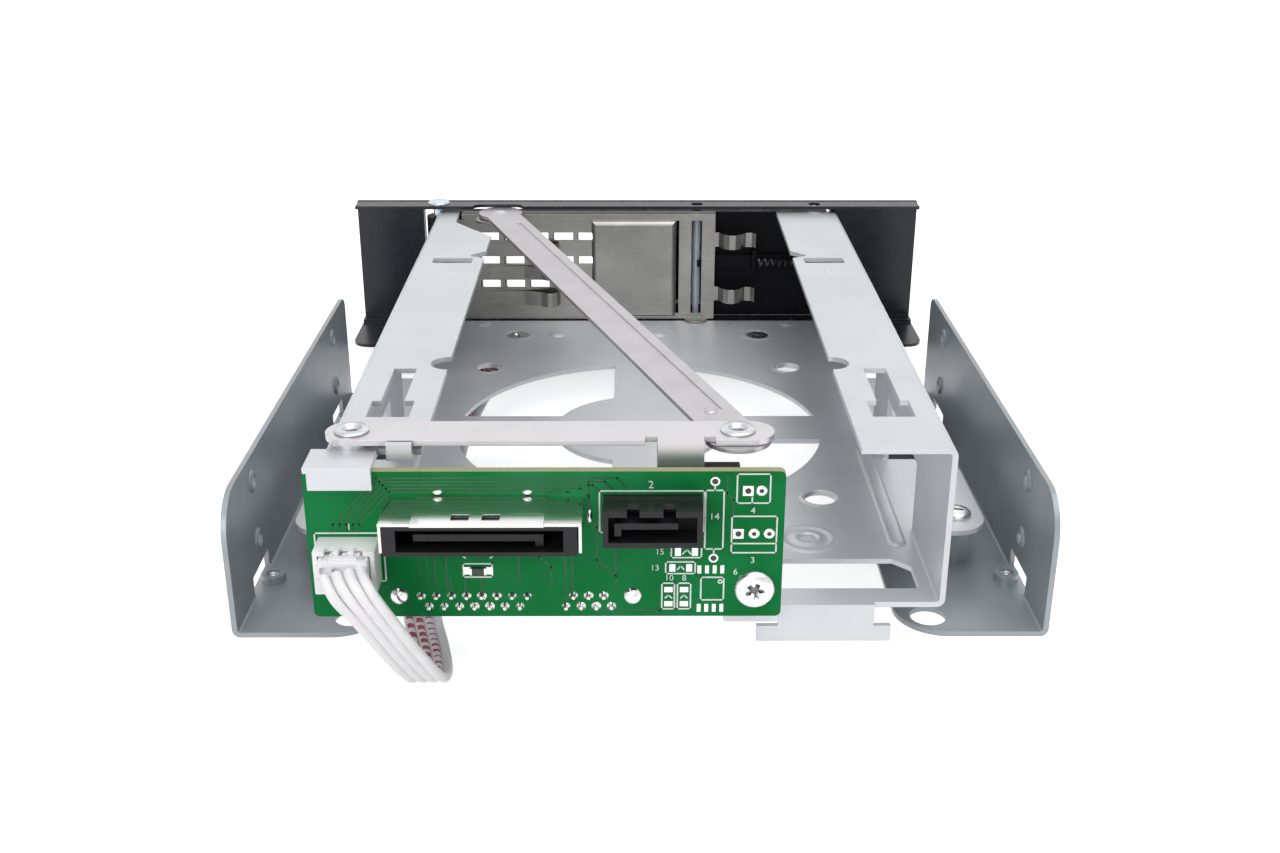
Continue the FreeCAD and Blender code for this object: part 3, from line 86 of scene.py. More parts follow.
class Finish:
    """One material under construction, with short calls for the nodes it needs."""

    def __init__(self, name, metallic=0.0, roughness=0.5, **sockets):
        self.material = bpy.data.materials.new(name)
        self.material.use_nodes = True
        self.tree = self.material.node_tree
        self.shader = self.tree.nodes["Principled BSDF"]
        self.shader.inputs["Metallic"].default_value = metallic
        self.shader.inputs["Roughness"].default_value = roughness
        for label, value in sockets.items():
            self.shader.inputs[label.replace("_", " ")].default_value = value
        self.place = self.node("ShaderNodeTexCoord").outputs["Object"]

    def node(self, kind, **settings):
        made = self.tree.nodes.new(kind)
        for label, value in settings.items():
            setattr(made, label, value)
        return made

    def link(self, start, end):
        self.tree.links.new(start, end)

    def stretched(self, lengths, turn=0.0):
        """Object coordinates in which a texture is drawn out by those lengths along turned axes."""
        mapping = self.node("ShaderNodeMapping", vector_type="TEXTURE")
        mapping.inputs["Scale"].default_value = lengths
        mapping.inputs["Rotation"].default_value = (0, 0, turn)
        self.link(self.place, mapping.inputs["Vector"])
        return mapping.outputs["Vector"]

    def noise(self, size, detail=3.0, place=None):
        """Noise whose blobs are about size metres across."""
        noise = self.node("ShaderNodeTexNoise")
        noise.inputs["Scale"].default_value = 1 / size
        noise.inputs["Detail"].default_value = detail
        self.link(place or self.place, noise.inputs["Vector"])
        return noise.outputs["Fac"]

    def colour(self, value, *stops):
        """Base colour from a value through a ramp of (position, colour) stops."""
        ramp = self.node("ShaderNodeValToRGB")
        while len(ramp.color_ramp.elements) < len(stops):
            ramp.color_ramp.elements.new(0.5)
        for element, (position, shade) in zip(ramp.color_ramp.elements, stops):
            element.position = position
            element.color = (*shade, 1)
        self.link(value, ramp.inputs["Fac"])
        self.link(ramp.outputs["Color"], self.shader.inputs["Base Color"])
        return ramp.outputs["Color"]

    def rough(self, value, low, high):
        spread = self.node("ShaderNodeMapRange")
        spread.inputs["From Min"].default_value = 0.3
        spread.inputs["From Max"].default_value = 0.7
        spread.inputs["To Min"].default_value = low
        spread.inputs["To Max"].default_value = high
        self.link(value, spread.inputs["Value"])
        self.link(spread.outputs["Result"], self.shader.inputs["Roughness"])

    def relief(self, height, depth, strength=1.0, edge=0.0):
        """Bump of that depth in metres, over edges that are softened by edge metres."""
        bump = self.node("ShaderNodeBump")
        bump.inputs["Distance"].default_value = depth
        bump.inputs["Strength"].default_value = strength
        self.link(height, bump.inputs["Height"])
        if edge:
            bevel = self.node("ShaderNodeBevel", samples=4)
            bevel.inputs["Radius"].default_value = edge
            self.link(bevel.outputs["Normal"], bump.inputs["Normal"])
        self.link(bump.outputs["Normal"], self.shader.inputs["Normal"])


def sheet_steel(name, dark, light):
    """Zinc-plated sheet: faint cloudy tone, rolling grain and softened sheared edges."""
    finish = Finish(name, metallic=0.4)
    clouds = finish.noise(14 * MM, 4)
    finish.colour(clouds, (0.35, dark), (0.65, light))
    finish.rough(finish.noise(5 * MM, 5), 0.36, 0.42)
    grain = finish.noise(0.25 * MM, 2, finish.stretched((1.0, 8.0, 1.0)))
    finish.relief(grain, 0.004 * MM, 0.25, 0.16 * MM)
    return finish.material


def plated_spring_steel(name, dark, light, roughness, metallic=1.0, turn=0.0):
    """Nickel-plated strip with faint lines along its rolling direction."""
    finish = Finish(name, metallic=metallic)
    lines = finish.noise(0.35 * MM, 3, finish.stretched((30.0, 1.0, 1.0), turn))
    finish.colour(finish.noise(8 * MM, 4), (0.3, dark), (0.7, light))
    finish.rough(lines, *roughness)
    finish.relief(lines, 0.003 * MM, 0.12, 0.12 * MM)
    return finish.material


def bright_zinc(name, light, roughness=(0.2, 0.34), metallic=1.0, mottle=0.8):
    """Shiny plated or tinned metal; mottle is how dark its darkest clouds are."""
    finish = Finish(name, metallic=metallic)
    finish.colour(finish.noise(1.1 * MM, 4), (0.3, tuple(mottle * c for c in light)), (0.7, light))
    finish.rough(finish.noise(0.5 * MM, 4), *roughness)
    finish.relief(finish.noise(0.2 * MM, 3), 0.003 * MM, 0.3, 0.06 * MM)
    return finish.material


def black_coat(name, shade, size, depth, roughness, edge=0.15 * MM, gloss=0.5):
    """Black paint or moulded plastic with a fine textured skin."""
    finish = Finish(name, Specular_IOR_Level=gloss)
    finish.colour(finish.noise(9 * MM, 4), (0.3, tuple(0.75 * c for c in shade)), (0.7, shade))
    finish.rough(finish.noise(2 * MM, 4), *roughness)
    finish.relief(finish.noise(size, 3), depth, 0.6, edge)
    return finish.material


def board_mask(name):
    """Cloudy green solder mask over a faint weave, with bare glass fibre on the board's cut edges."""
    finish = Finish(name, roughness=0.34, Specular_IOR_Level=0.08)
    green = finish.colour(finish.noise(16 * MM, 2), (0.36, (0.003, 0.17, 0.036)),
                          (0.5, (0.006, 0.2, 0.05)), (0.7, (0.013, 0.235, 0.07)))
    facing = finish.node("ShaderNodeSeparateXYZ")
    finish.link(finish.node("ShaderNodeTexCoord").outputs["Normal"], facing.inputs["Vector"])
    flat = finish.node("ShaderNodeMath", operation="ABSOLUTE")
    finish.link(facing.outputs["Y"], flat.inputs[0])
    cut = finish.node("ShaderNodeMix", data_type="RGBA")
    fibres = finish.node("ShaderNodeValToRGB")
    fibres.color_ramp.elements[0].color = (0.3, 0.3, 0.14, 1)
    fibres.color_ramp.elements[1].color = (0.52, 0.5, 0.3, 1)
    finish.link(finish.noise(0.5 * MM, 4), fibres.inputs["Fac"])
    finish.link(flat.outputs["Value"], cut.inputs["Factor"])
    finish.link(fibres.outputs["Color"], cut.inputs["A"])
    finish.link(green, cut.inputs["B"])
    finish.link(cut.outputs["Result"], finish.shader.inputs["Base Color"])
    weave = finish.node("ShaderNodeTexWave", bands_direction="X")
    weave.inputs["Scale"].default_value = 1 / (2.2 * MM)
    weave.inputs["Distortion"].default_value = 0.6
    finish.link(finish.place, weave.inputs["Vector"])
    finish.relief(weave.outputs["Fac"], 0.004 * MM, 0.25, 0.08 * MM)
    return finish.material


def plain_moulding(name, low, high, roughness, sheen=0.0):
    """Light, printed or translucent plastic; sheen is how much light goes into it."""
    finish = Finish(name, Subsurface_Weight=sheen, Subsurface_Scale=0.6 * MM)
    finish.colour(finish.noise(3 * MM, 4), (0.3, low), (0.7, high))
    finish.rough(finish.noise(1.2 * MM, 3), *roughness)
    finish.relief(finish.noise(0.4 * MM, 3), 0.008 * MM, 0.4, 0.07 * MM)
    return finish.material


LINK_DIRECTION = math.atan2(LINK_FRONT_PIVOT[1] - LINK_REAR_PIVOT[1],
                            LINK_FRONT_PIVOT[0] - LINK_REAR_PIVOT[0])

STEEL = sheet_steel("cage_zinc", (0.62, 0.64, 0.665), (0.665, 0.685, 0.71))
BRACKET = sheet_steel("bracket_zinc", (0.31, 0.345, 0.37), (0.35, 0.385, 0.41))
STRIP = plated_spring_steel("plate_nickel", (0.35, 0.34, 0.315), (0.42, 0.41, 0.385), (0.26, 0.34))
SHIELD = plated_spring_steel("shield_tin", (0.66, 0.67, 0.65), (0.74, 0.75, 0.73), (0.1, 0.18))
LEVER_STEEL = plated_spring_steel("lever_nickel", (0.6, 0.585, 0.6), (0.64, 0.625, 0.64), (0.3, 0.36),
                                  metallic=0.7)
LINK_STEEL = plated_spring_steel("link_nickel", (0.475, 0.46, 0.475), (0.535, 0.52, 0.535), (0.3, 0.36),
                                 metallic=0.7, turn=LINK_DIRECTION)
# Dark zinc that paints the shade down in screw recesses and rivet bowls.
PAINTED_RECESS_SHADE = bright_zinc("painted_recess_shade", (0.2, 0.2, 0.21), (0.45, 0.55))
ZINC = bright_zinc("screw_zinc", (0.85, 0.86, 0.86))
PIN_ZINC = bright_zinc("pin_blue_zinc", (0.66, 0.75, 0.84), (0.22, 0.3), metallic=0.6, mottle=0.92)
ROD_ZINC = bright_zinc("rod_pale_zinc", (0.74, 0.82, 0.9), (0.34, 0.44), metallic=0.2, mottle=0.94)
TURNED = bright_zinc("turned_zinc", (0.66, 0.68, 0.7), (0.28, 0.42))
COAT = black_coat("frame_black_coat", (0.011, 0.012, 0.02), 0.22 * MM, 0.0015 * MM, (0.24, 0.3), gloss=0.38)
MOULDED = black_coat("door_black_plastic", (0.007, 0.007, 0.009), 0.3 * MM, 0.012 * MM, (0.36, 0.5),
                     gloss=0.1)
SOCKET = black_coat("connector_black", (0.014, 0.014, 0.016), 0.12 * MM, 0.006 * MM, (0.26, 0.4),
                    edge=0.06 * MM, gloss=0.3)
BLACK_WIRE = black_coat("spring_black", (0.012, 0.012, 0.014), 0.1 * MM, 0.003 * MM, (0.2, 0.3),
                        edge=0.03 * MM)
MASK = board_mask("board_green")
NYLON = plain_moulding("plug_nylon", (0.87, 0.87, 0.88), (0.93, 0.93, 0.94), (0.3, 0.42), sheen=0.15)
JACKET = plain_moulding("cable_jacket", (0.9, 0.89, 0.9), (0.95, 0.94, 0.95), (0.34, 0.44), sheen=0.1)
CHIP = plain_moulding("chip_black", (0.025, 0.025, 0.025), (0.05, 0.05, 0.05), (0.35, 0.5))
SOLDER = bright_zinc("solder", (0.86, 0.86, 0.84), (0.12, 0.26))
LENS = plain_moulding("light_lens", (0.7, 0.72, 0.7), (0.85, 0.87, 0.85), (0.08, 0.15), sheen=0.4)
CABLE_INK = plain_moulding("cable_ink", (0.42, 0.05, 0.1), (0.58, 0.1, 0.17), (0.4, 0.5))
# Grey that paints the shade in the grooves between the cable's wires.
CABLE_GROOVE_SHADE = plain_moulding("cable_groove_painted_shade", (0.4, 0.4, 0.41), (0.48, 0.48, 0.49), (0.5, 0.6))
INK = plain_moulding("board_print", (0.8, 0.82, 0.8), (0.92, 0.93, 0.92), (0.5, 0.6))
TRACE = plain_moulding("board_trace", (0.002, 0.075, 0.02), (0.004, 0.1, 0.03), (0.3, 0.4))

CAD_FINISHES = {
    "cage": STEEL, "bracket_left": BRACKET, "bracket_right": BRACKET, "standoffs": BRACKET,
    "standoff_screws": ZINC, "bezel_frame": COAT, "bezel_screws": ZINC, "front_bezel": MOULDED,
    "door_hinge_pin": PIN_ZINC, "door_panel": MOULDED, "door_plate": STRIP, "handle_pin": ROD_ZINC,
    "door_handle": MOULDED, "latch_slider": MOULDED, "latch_spring": BLACK_WIRE, "eject_lever": LEVER_STEEL,
    "pusher_pad": SOCKET, "link_bar": LINK_STEEL, "lever_rivet": TURNED, "link_rear_rivet": TURNED,
    "link_front_rivet": TURNED, "rear_board": MASK, "board_screw": ZINC, "drive_connector": SOCKET,
    "power_connector": SOCKET, "power_shield": SHIELD, "data_connector": SOCKET, "cable_header": NYLON,
    "cable_plug": NYLON, "solder_pins": SOLDER, "board_parts": CHIP, "light_board": MASK,
    "light_socket": NYLON, "status_lights": LENS, "ribbon_cable": JACKET,
}
for node_name, finish in CAD_FINISHES.items():
    NODES[node_name].data.materials.clear()
    NODES[node_name].data.materials.append(finish)


# ---- mesh helpers ------------------------------------------------------------------------------

def piece(name, bm, material, body, smooth_below=35):
    """A new object from a bmesh in millimetres, with its material, riding on a body."""
    bmesh.ops.scale(bm, vec=(MM, MM, MM), verts=bm.verts)
    mesh = bpy.data.meshes.new(name)
    bm.to_mesh(mesh)
    bm.free()
    for polygon in mesh.polygons:
        polygon.use_smooth = True
    mesh.set_sharp_from_angle(angle=math.radians(smooth_below))
    made = bpy.data.objects.new(name, mesh)
    bpy.context.collection.objects.link(made)
    made.data.materials.append(material)
    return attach(made, body)


def add_box(bm, across, deep, up, edge=0.0):
    """Box between two X, two Y and two Z values, with softened edges if asked."""
    spans = [sorted(pair) for pair in (across, deep, up)]
    middle = Vector([sum(span) / 2 for span in spans])
    sizes = [span[1] - span[0] for span in spans]
    grown = Matrix.Translation(middle) @ Matrix.Diagonal((*sizes, 1))
    made = bmesh.ops.create_cube(bm, size=1.0, matrix=grown)
    if edge:
        edges = list({e for vert in made["verts"] for e in vert.link_edges})
        bmesh.ops.bevel(bm, geom=edges, offset=edge, segments=2, profile=0.5, affect="EDGES")


def add_lathe(bm, profile, place, axis=UP, steps=40):
    """Solid of revolution of a profile about an axis through the place."""
    turned = Vector(axis).to_track_quat("Z", "Y").to_matrix().to_4x4()
    stand = Matrix.Translation(Vector(place)) @ turned
    turns = [2 * math.pi * i / steps for i in range(steps)]
    rings = []
    for radius, height in profile:
        if radius == 0:
            rings.append([bm.verts.new(stand @ Vector((0, 0, height)))])
            continue
        rings.append([bm.verts.new(stand @ Vector((radius * math.cos(a), radius * math.sin(a), height)))
                      for a in turns])
    for low, high in zip(rings, rings[1:]):
        for i in range(steps):
            j = (i + 1) % steps
            corners = [low[i % len(low)], low[j % len(low)], high[j % len(high)], high[i % len(high)]]
            unique = list(dict.fromkeys(corners))
            if len(unique) > 2:
                bm.faces.new(unique)


def add_stroke(bm, start, end, width, low, high):
    """Thin bar on the board's rear face between two (X, Z) points, from one Y level to another."""
    first, last = Vector((start[0], 0, start[1])), Vector((end[0], 0, end[1]))
    run = last - first
    length = run.length + width
    along = run.normalized() if run.length else Vector((1, 0, 0))
    rearwards = Vector(REARWARDS)
    axes = Matrix((along, rearwards, along.cross(rearwards))).transposed().to_4x4()
    middle = (first + last) / 2 + Vector((0, (low + high) / 2, 0))
    sizes = Matrix.Diagonal((length, high - low, width, 1))
    bmesh.ops.create_cube(bm, size=1.0, matrix=Matrix.Translation(middle) @ axes @ sizes)


def carved(bm, cutter):
    """The first solid with the second cut out of it."""
    pair = []
    for shape in (bm, cutter):
        bmesh.ops.recalc_face_normals(shape, faces=shape.faces)
        mesh = bpy.data.meshes.new("carving")
        shape.to_mesh(mesh)
        shape.free()
        made = bpy.data.objects.new("carving", mesh)
        bpy.context.collection.objects.link(made)
        pair.append(made)
    cut = pair[0].modifiers.new("cut", "BOOLEAN")
    cut.object = pair[1]
    cut.solver = "EXACT"
    seen = bpy.context.evaluated_depsgraph_get()
    result = bpy.data.meshes.new_from_object(pair[0].evaluated_get(seen))
    left = bmesh.new()
    left.from_mesh(result)
    for made in pair:
        bpy.data.meshes.remove(made.data)
    bpy.data.meshes.remove(result)
    return left


def join(bm, other):
    """Move the shapes of another bmesh into the first."""
    mesh = bpy.data.meshes.new("joined")
    other.to_mesh(mesh)
    other.free()
    bm.from_mesh(mesh)
    bpy.data.meshes.remove(mesh)


# ---- screws and rivets -------------------------------------------------------------------------

M3_SHANK = 1.5
GROOVE_DEPTH = 0.18
# BOWL_RADIUS and BOWL_LOW bound the painted shade in a rivet's bowl.
BOWL_RADIUS = 1.0
BOWL_LOW = 40.0


def recess_wing(wide, stand):
    """Block that narrows with depth and cuts one slot of a crossed recess, set at the head's top."""
    cutter = bmesh.new()
    bmesh.ops.create_cube(cutter, size=1.0, matrix=Matrix.Diagonal((1.45 * wide, 0.3 * wide, 1.8, 1)))
    for vert in cutter.verts:
        if vert.co.z < 0:
            vert.co.x *= 0.3
            vert.co.y *= 0.6
        vert.co = stand @ vert.co
    return cutter


def screw(bm, place, axis, shank, reach, head, wings, turn):
    """Screw whose head has a recess with that many slots; its place is where head and shank meet."""
    top = max(height for radius, height in head)
    wide = max(radius for radius, height in head)
    grooves = []
    for i in range(int(reach / THREAD_PITCH)):
        low = -reach + THREAD_PITCH * i
        grooves += [(shank - GROOVE_DEPTH, low), (shank, low + THREAD_PITCH / 2)]
    tip, neck = [(0, -reach - 0.3)], [(shank - 0.15, -0.05), (shank, 0)]
    solid = bmesh.new()
    add_lathe(solid, tip + grooves + neck + head, place, axis)
    turned = Vector(axis).to_track_quat("Z", "Y").to_matrix().to_4x4()
    for wing in range(wings):
        spin = Matrix.Rotation(turn + math.pi * wing / wings, 4, "Z")
        stand = Matrix.Translation(Vector(place)) @ turned @ Matrix.Translation((0, 0, top)) @ spin
        solid = carved(solid, recess_wing(wide, stand))
    # Faces down in the recess get the second slot: painted shade.
    along = Vector(axis).normalized()
    for face in solid.faces:
        from_foot = face.calc_center_median() - Vector(place)
        height = from_foot.dot(along)
        near_axis = (from_foot - along * height).length < 0.62 * wide
        sunk = abs(face.normal.dot(along)) < 0.6 or height < top - 0.35
        face.material_index = int(height > 0 and near_axis and sunk)
    join(bm, solid)


def screw_set(name, bm, node):
    """A group of finished screws, with painted shade, a darker metal colour, down in their recesses."""
    made = piece(name, bm, ZINC, "cage")
    made.data.materials.append(PAINTED_RECESS_SHADE)
    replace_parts(made, node)


def pan_head(radius, tall):
    """Profile of a low domed head."""
    shares = ((0.96, 0), (1, 0.3), (0.95, 0.62), (0.8, 0.88), (0.5, 0.98), (0, 1))
    return [(radius * across, tall * up) for across, up in shares]


def screws():
    """All screws, with crossed recesses, domed heads and turned grooves for their threads."""
    bm = bmesh.new()
    turns = iter((0.3, 0.9, 1.3, 0.1))
    for side in SIDES:
        for back in STANDOFF_BACKS:
            screw(bm, (side * STANDOFF_ACROSS, back, BASE_TOP), UP, M3_SHANK, reach=5.6,
                  head=pan_head(2.8, 1.2), wings=2, turn=next(turns))
    screw_set("ear_screws", bm, "standoff_screws")
    bm = bmesh.new()
    screw(bm, (-18.8, FACE, 16.9), REARWARDS, shank=1.3, reach=3.4,
          head=pan_head(3.45, 2.0), wings=3, turn=0.2)
    screw_set("board_pan_screw", bm, "board_screw")
    bm = bmesh.new()
    countersunk = [(1.55, 0.05), (2.85, 0.98), (2.2, 1.0), (0, 0.9)]
    for side, turn in zip(SIDES, (0.5, 1.1)):
        place = (side * BEZEL_SCREW_ACROSS, BEZEL_SCREW_BACK, 9.2)
        screw(bm, place, UP, M3_SHANK, reach=2.7, head=countersunk, wings=2, turn=turn)
    screw_set("sunk_screws", bm, "bezel_screws")


def lathed(profile, axis):
    """New bmesh with one solid of revolution about an upright axis; its heights are Z values."""
    bm = bmesh.new()
    add_lathe(bm, profile, (*axis, 0))
    return bm


def rolled_head(wide, base):
    """Profile of a rolled head and the bowl in its bored end, over a base height."""
    shape = [(wide, 0), (wide, 0.25), (wide - 0.3, 0.5), (1.8, 0.58), (1.5, 0.4), (1.2, -0.2), (0.7, -0.5),
             (0, -0.55)]
    return [(radius, base + rise) for radius, rise in shape]


def rolled_rivet(name, profile, pivot, body, node):
    """Rivet with painted shade, a darker metal colour, down in its bowl."""
    bm = lathed(profile, pivot)
    # Faces down in the bowl get the second slot: painted shade.
    for face in bm.faces:
        spot = face.calc_center_median()
        near_axis = math.hypot(spot.x - pivot[0], spot.y - pivot[1]) < BOWL_RADIUS
        face.material_index = int(near_axis and spot.z > BOWL_LOW)
    made = piece(name, bm, TURNED, body)
    made.data.materials.append(PAINTED_RECESS_SHADE)
    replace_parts(made, node)


def rivets():
    """Rivets of the linkage, and the pins of the door and of its handle."""
    lever = [(0, RAIL_TOP), (3.4, RAIL_TOP), (3.4, 40.17), (1.98, 40.17), (1.98, 41.33)]
    lever += rolled_head(2.95, 41.33)
    rolled_rivet("rolled_lever_rivet", lever, LEVER_PIVOT, "cage", "lever_rivet")
    rear = [(0, 38.45), (2.6, 38.45), (3.2, 38.65), (3.2, 39.25), (1.98, 39.25), (1.98, 41.3)]
    rear += rolled_head(3.0, 41.3)
    rolled_rivet("rolled_link_rivet", rear, LINK_REAR_PIVOT, "lever", "link_rear_rivet")
    front = [(0, 38.2), (1.6, 38.2), (1.6, 39.35), (2.05, 39.35), (2.05, 40.12), (1.5, 40.2), (0.8, 40.1),
             (0.45, 39.8), (0, 39.75)]
    flush = piece("flush_link_rivet", lathed(front, LINK_FRONT_PIVOT), TURNED, "link")
    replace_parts(flush, "link_front_rivet")
    hinge = [(0, 7.8), (1.2, 7.8), (1.5, 8.1), (1.5, 41.1), (2.8, 41.1), (2.8, 41.35), (2.5, 41.7),
             (1.7, 41.92), (0, 42.0)]
    domed = piece("domed_hinge_pin", lathed(hinge, HINGE_AXIS), PIN_ZINC, "cage")
    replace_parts(domed, "door_hinge_pin")
    low, high = (corner[2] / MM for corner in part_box("handle_pin"))
    rod = [(0, low), (1.1, low), (1.3, low + 0.2), (1.3, high - 0.2), (1.1, high), (0, high)]
    turned = piece("turned_handle_pin", lathed(rod, HANDLE_AXIS), ROD_ZINC, "door")
    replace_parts(turned, "handle_pin")


# ---- pressed forms of the sheet ----------------------------------------------------------------

RAIL_DIMPLE = (43.6, -36.4)
BASE_BUMPS = ((41.2, -84.2), (21.1, -75.9), (-5.5, -76.3), (-40.0, -84.2))
BASE_HOLES = ((36.6, -51.0, 2.9), (35.9, 22.8, 3.2))         # X, Y and radius


def thread(low, high, radius=1.3, depth=0.2):
    """Grooved wall of a tapped hole, from its low end to its high one."""
    turns = int((high - low) / THREAD_PITCH)
    grooves = []
    for i in range(turns):
        grooves += [(radius, low + THREAD_PITCH * i), (radius - depth, low + THREAD_PITCH * (i + 0.5))]
    return grooves + [(radius, low + THREAD_PITCH * turns)]


def add_bead(bm, middle, length, width, height):
    """Long raised bead along Y with a rounded back and round ends."""
    half = width / 2
    lump = bmesh.new()
    add_lathe(lump, [(half, -0.02), (0.9 * half, 0.4 * height), (0.65 * half, 0.85 * height),
                     (0.35 * half, height), (0, height)], (0, 0, 0))
    for vert in lump.verts:
        if vert.co.xy.length > 0.01:
            vert.co.y += math.copysign(length / 2 - half, vert.co.y)
    bmesh.ops.translate(lump, vec=middle, verts=lump.verts)
    join(bm, lump)


def cage_pressings():
    """Bumps, rims, beads and the round boss pressed into the cage's sheet."""
    bm = bmesh.new()
    bump = [(2.3, -0.05), (2.0, 0.12), (1.5, 0.36), (0.8, 0.46), (0, 0.5)]
    for across, back in BASE_BUMPS:
        add_lathe(bm, bump, (across, back, BASE_TOP))
    rim = [(0.75, -0.1), (0.95, 0.12), (1.3, 0.2), (1.7, 0.1), (1.9, -0.05)]
    for side in SIDES:
        add_lathe(bm, rim, (side * RAIL_DIMPLE[0], RAIL_DIMPLE[1], RAIL_TOP), steps=28)
    boss = [(1.5, 0.05), (1.8, 0.35), (2.6, 0.42), (3.1, 0.14), (4.1, 0.1), (4.6, 0.3), (5.3, 0.26),
            (5.9, -0.05)]
    add_lathe(bm, boss, (-31.4, 40.6, BASE_TOP))
    dish = [(2.9, -0.02), (3.3, 0.16), (3.9, 0.2), (4.6, -0.05)]
    for side in SIDES:
        add_lathe(bm, dish, (side * BEZEL_SCREW_ACROSS, BEZEL_SCREW_BACK, BASE_TOP))
        for across, back, wide in BASE_HOLES:
            lip = [(wide, -0.02), (wide + 0.15, 0.14), (wide + 0.5, 0.18), (wide + 1.1, -0.03)]
            add_lathe(bm, lip, (side * across, back, BASE_TOP))
        add_bead(bm, (side * 47.9, 21.0, BASE_TOP), length=46.0, width=3.8, height=0.62)
    piece("cage_pressings", bm, STEEL, "cage", 60)


def bracket_holes(side, label):
    """Drawn collars of a bracket's bay holes, and the threads in them."""
    inwards = (-side, 0, 0)
    bm = bmesh.new()
    drawn = [(1.3, -0.02), (1.35, 0.5), (1.6, 0.55), (1.9, 0.4), (2.2, -0.03)]
    for back in BAY_HOLE_BACKS:
        for up in BAY_HOLE_ROWS:
            add_lathe(bm, drawn, (side * 72.0, back, up), inwards, 28)
    piece("bracket_collars_" + label, bm, BRACKET, "cage", 60)
    bm = bmesh.new()
    for back in BAY_HOLE_BACKS:
        add_lathe(bm, thread(0.1, 2.5), (side * BAY_HOLE_ACROSS, back, 0))
        for up in BAY_HOLE_ROWS:
            add_lathe(bm, thread(0.05, 1.45), (side * 73.0, back, up), inwards, 28)
    piece("bracket_threads_" + label, bm, TURNED, "cage")


def link_dimple():
    """Small round dimple pressed up beside the link's rear rivet."""
    bm = bmesh.new()
    add_lathe(bm, [(1.25, 0), (1.15, 0.22), (0.7, 0.38), (0, 0.42)], (-12.1, 50.2, 40.12))
    piece("link_dimple", bm, LINK_STEEL, "link", 60)


# ---- board: print, copper and solder -----------------------------------------------------------

PRINT_WIDTH, PRINT_RISE = 0.26, 0.035
COPPER_WIDTH, COPPER_RISE = 0.3, 0.012
PIN_PITCH = 2.54
CHIP_LOWS = (19.4, 23.1)

# Two X and two Z values of each printed box, (X, Z) points of each printed line, and for each
# number its text, X, Z and height. They lie where the photo shows print.
PRINT_BOXES = [
    ((-10.4, -13.4), (24.0, 34.7)), ((-15.5, -20.9), (32.4, 37.6)), ((-14.8, -22.2), (23.3, 30.0)),
    ((-9.9, -13.7), (14.4, 18.7)), ((6.9, -10.2), (27.1, 34.6)), ((53.8, 42.5), (18.1, 27.0)),
    ((29.6, 24.8), (18.8, 21.3)), ((-4.9, -9.9), (22.4, 24.7)), ((-4.0, -8.9), (19.4, 21.6)),
    ((-3.4, -5.5), (12.7, 17.6)), ((-6.0, -8.2), (12.7, 17.6))]
PRINT_LINES = [
    [(-14.8, 25.0), (-22.2, 25.0)], [(-18.0, 32.4), (-18.0, 33.4)], [(-11.9, 34.7), (-11.9, 35.5)],
    [(-11.9, 24.0), (-11.9, 23.2)], [(29.9, 24.4), (29.9, 23.0), (29.2, 22.4)],
    [(24.4, 24.4), (24.4, 23.0), (25.0, 22.4)], [(-6.8, 23.1), (-7.5, 23.9), (-8.1, 23.1)],
    [(-4.0, 14.8), (-4.5, 15.4), (-5.0, 14.8)], [(-6.6, 14.8), (-7.1, 15.4), (-7.6, 14.8)],
    [(-6.0, 20.2), (-6.5, 20.9), (-7.0, 20.2)]]
NUMBERS = [
    ("1", 48.0, 27.6, 1.7), ("2", -1.5, 35.1, 1.9), ("14", -11.9, 29.4, 1.7), ("4", -18.2, 30.5, 1.6),
    ("3", -18.4, 21.4, 1.6), ("5", 22.7, 23.2, 1.7), ("15", -3.0, 23.0, 1.5), ("13", -2.2, 20.0, 1.5),
    ("10", -4.6, 18.1, 1.5), ("8", -7.1, 18.1, 1.5), ("6", -15.6, 19.2, 1.6)]

# X, top and low end of each straight run of copper, (X, Z) points of each bent one, and vias.
COPPER_DROPS = [
    (36.9, 27.5, 16.4), (35.6, 27.5, 16.6), (34.3, 22.0, 16.2), (31.8, 18.4, 15.9), (29.4, 18.4, 16.1),
    (26.7, 18.4, 14.0), (12.6, 27.4, 14.4), (11.5, 27.4, 16.2), (-12.6, 13.5, 12.2), (4.3, 26.8, 16.6)]
COPPER_BENDS = [
    [(36.9, 27.3), (38.8, 25.6), (41.8, 25.6)], [(29.4, 24.0), (31.2, 24.0), (32.4, 22.8), (32.4, 16.3)],
    [(8.6, 36.2), (8.6, 29.2), (7.4, 28.0), (7.4, 22.0), (4.2, 18.9)],
    [(-9.3, 13.4), (-3.0, 12.4), (8.0, 12.4)],
    [(-15.0, 29.3), (-15.0, 33.0), (-13.9, 34.2), (-13.9, 37.2)],
    [(-6.9, 26.4), (-6.9, 25.2), (-9.2, 24.2)], [(17.0, 26.8), (17.0, 22.6), (15.0, 20.6), (15.0, 17.0)],
    [(22.0, 27.4), (22.0, 26.0), (20.4, 24.4), (20.4, 18.0)]]
VIAS = [
    (9.2, 22.0), (7.0, 20.4), (4.0, 24.2), (2.0, 22.0), (13.8, 24.6), (18.4, 25.0), (23.6, 16.6),
    (0.6, 20.0), (-1.4, 25.4), (40.6, 30.4), (44.2, 33.8), (50.6, 33.4), (52.6, 30.2), (22.8, 35.6),
    (28.6, 35.2), (-22.4, 36.8), (-22.6, 12.4), (-2.6, 12.8), (10.0, 18.6), (16.2, 19.6)]

# (X, Z) places of the bare pads on the right of the board.
SQUARE_PADS = [(-17.3, 34.6), (-15.9, 26.8)]
RING_PADS = [(-19.5, 34.6), (-18.5, 26.8), (-21.0, 26.8)]
LEAD_PADS = [(-11.9, 36.3), (-11.9, 22.3)]

